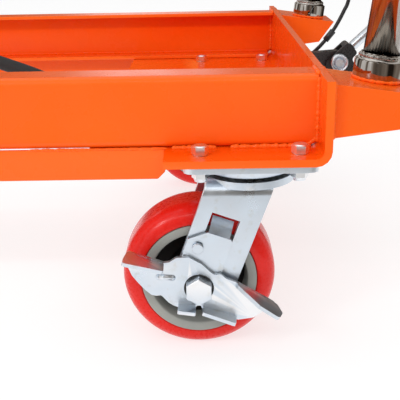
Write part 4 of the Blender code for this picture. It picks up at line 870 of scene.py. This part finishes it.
def brake_lever(label, body):
    """The double foot pedal: a pressed plate with an eye, two folded ears, a rib and a stop flange."""
    axle = Vector((middle(label + "_tread").x, 0, AXLE_HEIGHT))
    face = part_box(label + "_brake_lever")[1].y - LEVER_SHEET
    outline = rounded([(x * MM, z * MM) for x, z in (
        (-56.5, 33), (-27.5, 22.5), (-23, 23.2), (-17.5, 27), (-7.6, 27.1), (2.6, 21), (9.6, 13.8),
        (13, 11.4), (17.6, 12.3), (22, 8), (29.5, 5), (54, -10), (64, -16.5), (51.5, -21.8),
        (44, -27.2), (31.3, -29), (2, -18.6), (1.5, -15.7), (-2, -15.7), (-2.6, -16.8), (-17, -16.8),
        (-21, -15.2), (-25, -12.3), (-28.6, -8), (-30.5, -5.8), (-34.5, -6.2), (-38.2, -5.5), (-43, -1.2),
        (-48.2, 5), (-53.4, 12.1), (-58, 24))], 3 * MM)
    eye = [(LEVER_EYE * math.cos(k * math.pi / 24), LEVER_EYE * math.sin(k * math.pi / 24))
           for k in range(48)]
    upright = Matrix(((1, 0, 0, 0), (0, 0, -1, 0), (0, 1, 0, 0), (0, 0, 0, 1)))
    base = plate(label + "_brake_pedal_pressing", outline, LEVER_SHEET, upright, eye)
    start = LEVER_SHEET / 2 - 1.6 * MM
    left = rounded([(0.5 * MM, start), (31 * MM, start), (31.5 * MM, 16 * MM), (-1.5 * MM, 23.8 * MM),
                    (-1.5 * MM, 16 * MM)], 2.5 * MM)
    right = rounded([(0.5 * MM, start), (39.5 * MM, start), (43.5 * MM, 12 * MM), (39.5 * MM, 23.8 * MM),
                     (22 * MM, 21 * MM), (2 * MM, 5 * MM)], 4 * MM)
    tab = rounded([(0, start), (14 * MM, start), (14.2 * MM, 15.5 * MM), (-0.5 * MM, 14.5 * MM)], 1.5 * MM)
    flange = rounded([(0, start), (29 * MM, start), (28 * MM, 14 * MM), (0, 12 * MM)], 1.5 * MM)
    parts = [flap(label + "_ear_a", (-56.7 * MM, 33 * MM), (-27.5 * MM, 22.2 * MM), left, EAR_SHEET),
             flap(label + "_ear_b", (29.6 * MM, 4.9 * MM), (64 * MM, -16.3 * MM), right, EAR_SHEET),
             flap(label + "_tab", (-16.8 * MM, -13.4 * MM), (-2.8 * MM, -15 * MM), tab, EAR_SHEET),
             flap(label + "_flange", (3 * MM, -16.4 * MM), (31 * MM, -26.2 * MM), flange, EAR_SHEET)]
    lever = with_edges(joined(base, *parts), 0.7 * MM, 3)
    lever.data.transform(Matrix.Translation(axle + Vector((0, face + LEVER_SHEET / 2, 0))))
    give(lever, body, ZINC, "zinc_plate", label + "_brake_lever")
    # Painted shade: a black rubber ring in the lever's eye stands for the deep shadow in the gap round the
    # axle head.
    shade_ring_profile = [(10.4 * MM, 0), (12 * MM, 0), (12 * MM, 2.6 * MM), (10.4 * MM, 2.6 * MM)]
    give(lathe(label + "_lever_eye_shade_ring", shade_ring_profile, SMALL_STEPS, axle + Vector((0, face + 0.8 * MM, 0)), (0, 1, 0)),
         body, RUBBER, "black_rubber")
    rib = [Vector((x * MM, 0, z * MM)) for x, z in ((-32, 10.5), (-27, 10.2), (-21, 9.6))]
    raised = swept(label + "_pedal_rib", rib, PEDAL_RIB, 24)
    ends = bmesh.new()
    ends.from_mesh(raised.data)
    for end in (rib[0], rib[-1]):
        bmesh.ops.create_uvsphere(ends, u_segments=24, v_segments=12, radius=PEDAL_RIB,
                                  matrix=Matrix.Translation(end))
    ends.to_mesh(raised.data)
    ends.free()
    raised.data.transform(Matrix.Translation(axle + Vector((0, face + 0.6 * MM, 0))))
    raised.data.shade_smooth()
    give(raised, body, ZINC, "zinc_plate")


def dress_axle(label, body):
    """The axle's hexagon head, chamfered, on a washer; and its nut with a nylon ring."""
    dressed(label + "_axle_bolt", body, ZINC, "zinc_plate", 0.8 * MM, 3)
    dressed(label + "_axle_nut", body, ZINC, "zinc_plate", 0.6 * MM, 3)
    low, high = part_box(label + "_axle_nut")
    centre = (low + high) / 2
    crown = [(6.6 * MM, 0), (8.8 * MM, 0), (8.6 * MM, 1.8 * MM), (7.8 * MM, 2.4 * MM), (6.6 * MM, 2.4 * MM)]
    give(lathe(label + "_nylon_ring", crown, SMALL_STEPS, (centre.x, high.y - 0.2 * MM, centre.z), (0, 1, 0)),
         body, NYLON, "zinc_plate")


for side in ("left", "right"):
    label, swivel = side + "_rear", side + "_swivel"
    dress_wheel(label, side + "_rear_wheel")
    dressed(label + "_fork", swivel, ZINC, "zinc_plate", 0.9 * MM, 3, 40)
    dressed(label + "_top_plate", "chassis", ZINC, "zinc_plate", 0.8 * MM, 3)
    dressed(label + "_kingpin", "chassis", ZINC, "zinc_plate", NUT_EDGE)
    dressed(label + "_brake_plate", side + "_shoe", ZINC, "zinc_plate", 0.5 * MM, 3)
    dressed(label + "_brake_screw", swivel, ZINC, "zinc_plate", 0.8 * MM, 3)
    dress_axle(label, swivel)
    brake_lever(label, side + "_brake")
    plate_mid = middle(label + "_top_plate")
    under = PLATE_UNDER
    dome = [(20 * MM, under + 0.5 * MM), (41 * MM, under + 0.5 * MM), (39.6 * MM, under - 0.8 * MM),
            (38 * MM, under - 2.5 * MM), (37 * MM, under - 5 * MM), (RACE_RADIUS, under - 7.5 * MM),
            (36 * MM, under - 8.6 * MM), (35 * MM, under - 8.8 * MM), (34.2 * MM, under - 8.2 * MM),
            (33.8 * MM, under - 6.4 * MM), (20 * MM, under - 5 * MM)]
    give(lathe(label + "_race_dome", dome, WHEEL_STEPS, (plate_mid.x, plate_mid.y, 0)), "chassis", ZINC,
         "zinc_plate")
    ring_low, ring_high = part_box(label + "_ball_ring")
    level = (ring_low.z + ring_high.z) / 2
    balls = grown(label + "_race_balls", ball_tree(), [Vector((plate_mid.x, plate_mid.y, level))],
                  {"Ring": BALL_RING, "Ball": BALL})
    give(balls, "chassis", STEEL, "plain_steel")
    cage = [(24 * MM, ring_high.z), (30 * MM, ring_high.z), (30 * MM, ring_low.z), (24 * MM, ring_low.z)]
    give(lathe(label + "_race_cage", cage, WHEEL_STEPS, (plate_mid.x, plate_mid.y, 0)), "chassis", STEEL,
         "plain_steel", label + "_ball_ring")
    label = side + "_front"
    dress_wheel(label, side + "_front_wheel")
    dressed(label + "_fork", "chassis", ZINC, "zinc_plate", 0.9 * MM, 3, 40)
    dress_axle(label, "chassis")


# Room, lights and camera

def room():
    """A pale floor that glows a little, so that shadows stay faint, under an even white sky."""
    floor = bpy.data.materials.new("pale_studio_floor")
    floor.use_nodes = True
    surface = floor.node_tree.nodes["Principled BSDF"].inputs
    surface["Base Color"].default_value = linear("#A8A8A8")
    surface["Roughness"].default_value = 0.9
    surface["Specular IOR Level"].default_value = 0.1
    surface["Emission Color"].default_value = linear("#FFFFFF")
    surface["Emission Strength"].default_value = FLOOR_GLOW
    shape = bmesh.new()
    bmesh.ops.create_grid(shape, x_segments=1, y_segments=1, size=12)
    ground = from_bmesh("studio_floor", shape)
    ground.data.materials.append(floor)
    ground.location.z = -0.3 * MM
    world = bpy.data.worlds.new("pale_room")
    world.use_nodes = True
    world.node_tree.nodes["Background"].inputs["Color"].default_value = linear("#FFFFFF")
    world.node_tree.nodes["Background"].inputs["Strength"].default_value = ROOM_LIGHT
    bpy.context.scene.world = world
    bpy.context.scene.view_settings.view_transform = "Standard"


def light_tent():
    """Dark and pale cloth strips hung round the object, seen only in its glossy surfaces."""
    cloth = bpy.data.materials.new("tent_strips")
    cloth.use_nodes = True
    tree = cloth.node_tree
    around = add(tree, "ShaderNodeTexGradient", {"gradient_type": "RADIAL"},
                 {"Vector": add(tree, "ShaderNodeTexCoord").outputs["Object"]})
    strips = add(tree, "ShaderNodeTexNoise", {"noise_dimensions": "1D"},
                 {"W": around.outputs["Fac"], "Scale": 9, "Detail": 1, "Roughness": 0.5})
    shade = add(tree, "ShaderNodeValToRGB", inputs={"Fac": strips.outputs["Fac"]})
    dark, pale = shade.color_ramp.elements
    dark.position, pale.position = 0.38, 0.62
    dark.color, pale.color = linear("#2E2722"), linear("#FFFFFF")
    shade.color_ramp.elements.new(0.5).color = linear("#8E8379")
    glow = add(tree, "ShaderNodeEmission", inputs={"Color": shade.outputs["Color"], "Strength": 1.0})
    tree.links.new(glow.outputs[0], tree.nodes["Material Output"].inputs["Surface"])
    shape = bmesh.new()
    bmesh.ops.create_cone(shape, segments=96, radius1=TENT_RADIUS, radius2=TENT_RADIUS, depth=TENT_HEIGHT,
                          matrix=Matrix.Translation((0, 0, TENT_HEIGHT / 2)))
    wall = from_bmesh("light_tent", shape)
    wall.data.materials.append(cloth)
    wall.visible_camera = wall.visible_diffuse = wall.visible_shadow = wall.visible_transmission = False


def panel(name, place, target, size, power):
    """A soft rectangular light that faces a point."""
    lamp = bpy.data.lights.new(name, "AREA")
    lamp.shape = "RECTANGLE"
    lamp.size, lamp.size_y = size
    lamp.energy = power
    obj = bpy.data.objects.new(name, lamp)
    bpy.context.scene.collection.objects.link(obj)
    obj.location = place
    obj.rotation_euler = (Vector(target) - Vector(place)).to_track_quat("-Z", "Y").to_euler()


def camera():
    """The camera, set from the near braked wheel."""
    near = middle("left_rear_tread")
    data = bpy.data.cameras.new("camera")
    data.lens = CAMERA_LENS
    data.sensor_width = 36
    data.clip_start = 0.01
    obj = bpy.data.objects.new("camera", data)
    bpy.context.scene.collection.objects.link(obj)
    yaw, pitch, roll = CAMERA_YAW, CAMERA_PITCH, CAMERA_ROLL
    forward = Vector((math.sin(yaw) * math.cos(pitch), math.cos(yaw) * math.cos(pitch), -math.sin(pitch)))
    right = Vector((math.cos(yaw), -math.sin(yaw), 0))
    up = right.cross(forward)
    level = right * math.cos(roll) + up * math.sin(roll)
    raised = up * math.cos(roll) - right * math.sin(roll)
    turn = Matrix((level, raised, -forward)).transposed().to_4x4()
    obj.matrix_world = Matrix.Translation(near + CAMERA_FROM_NEAR_WHEEL) @ turn
    bpy.context.scene.camera = obj


room()
light_tent()
panel("key_upper_left", (-1.1, -1.35, 1.15), (0.15, -0.2, 0.15), (0.35, 0.35), 8)
panel("strip_over_front", (0.1, -1.5, 1.25), (0.1, -0.2, 0.2), (2.2, 0.07), 7)
panel("top_soft", (0, 0.2, 2.2), (0, 0, 0.2), (1.6, 1.6), 6)
camera()
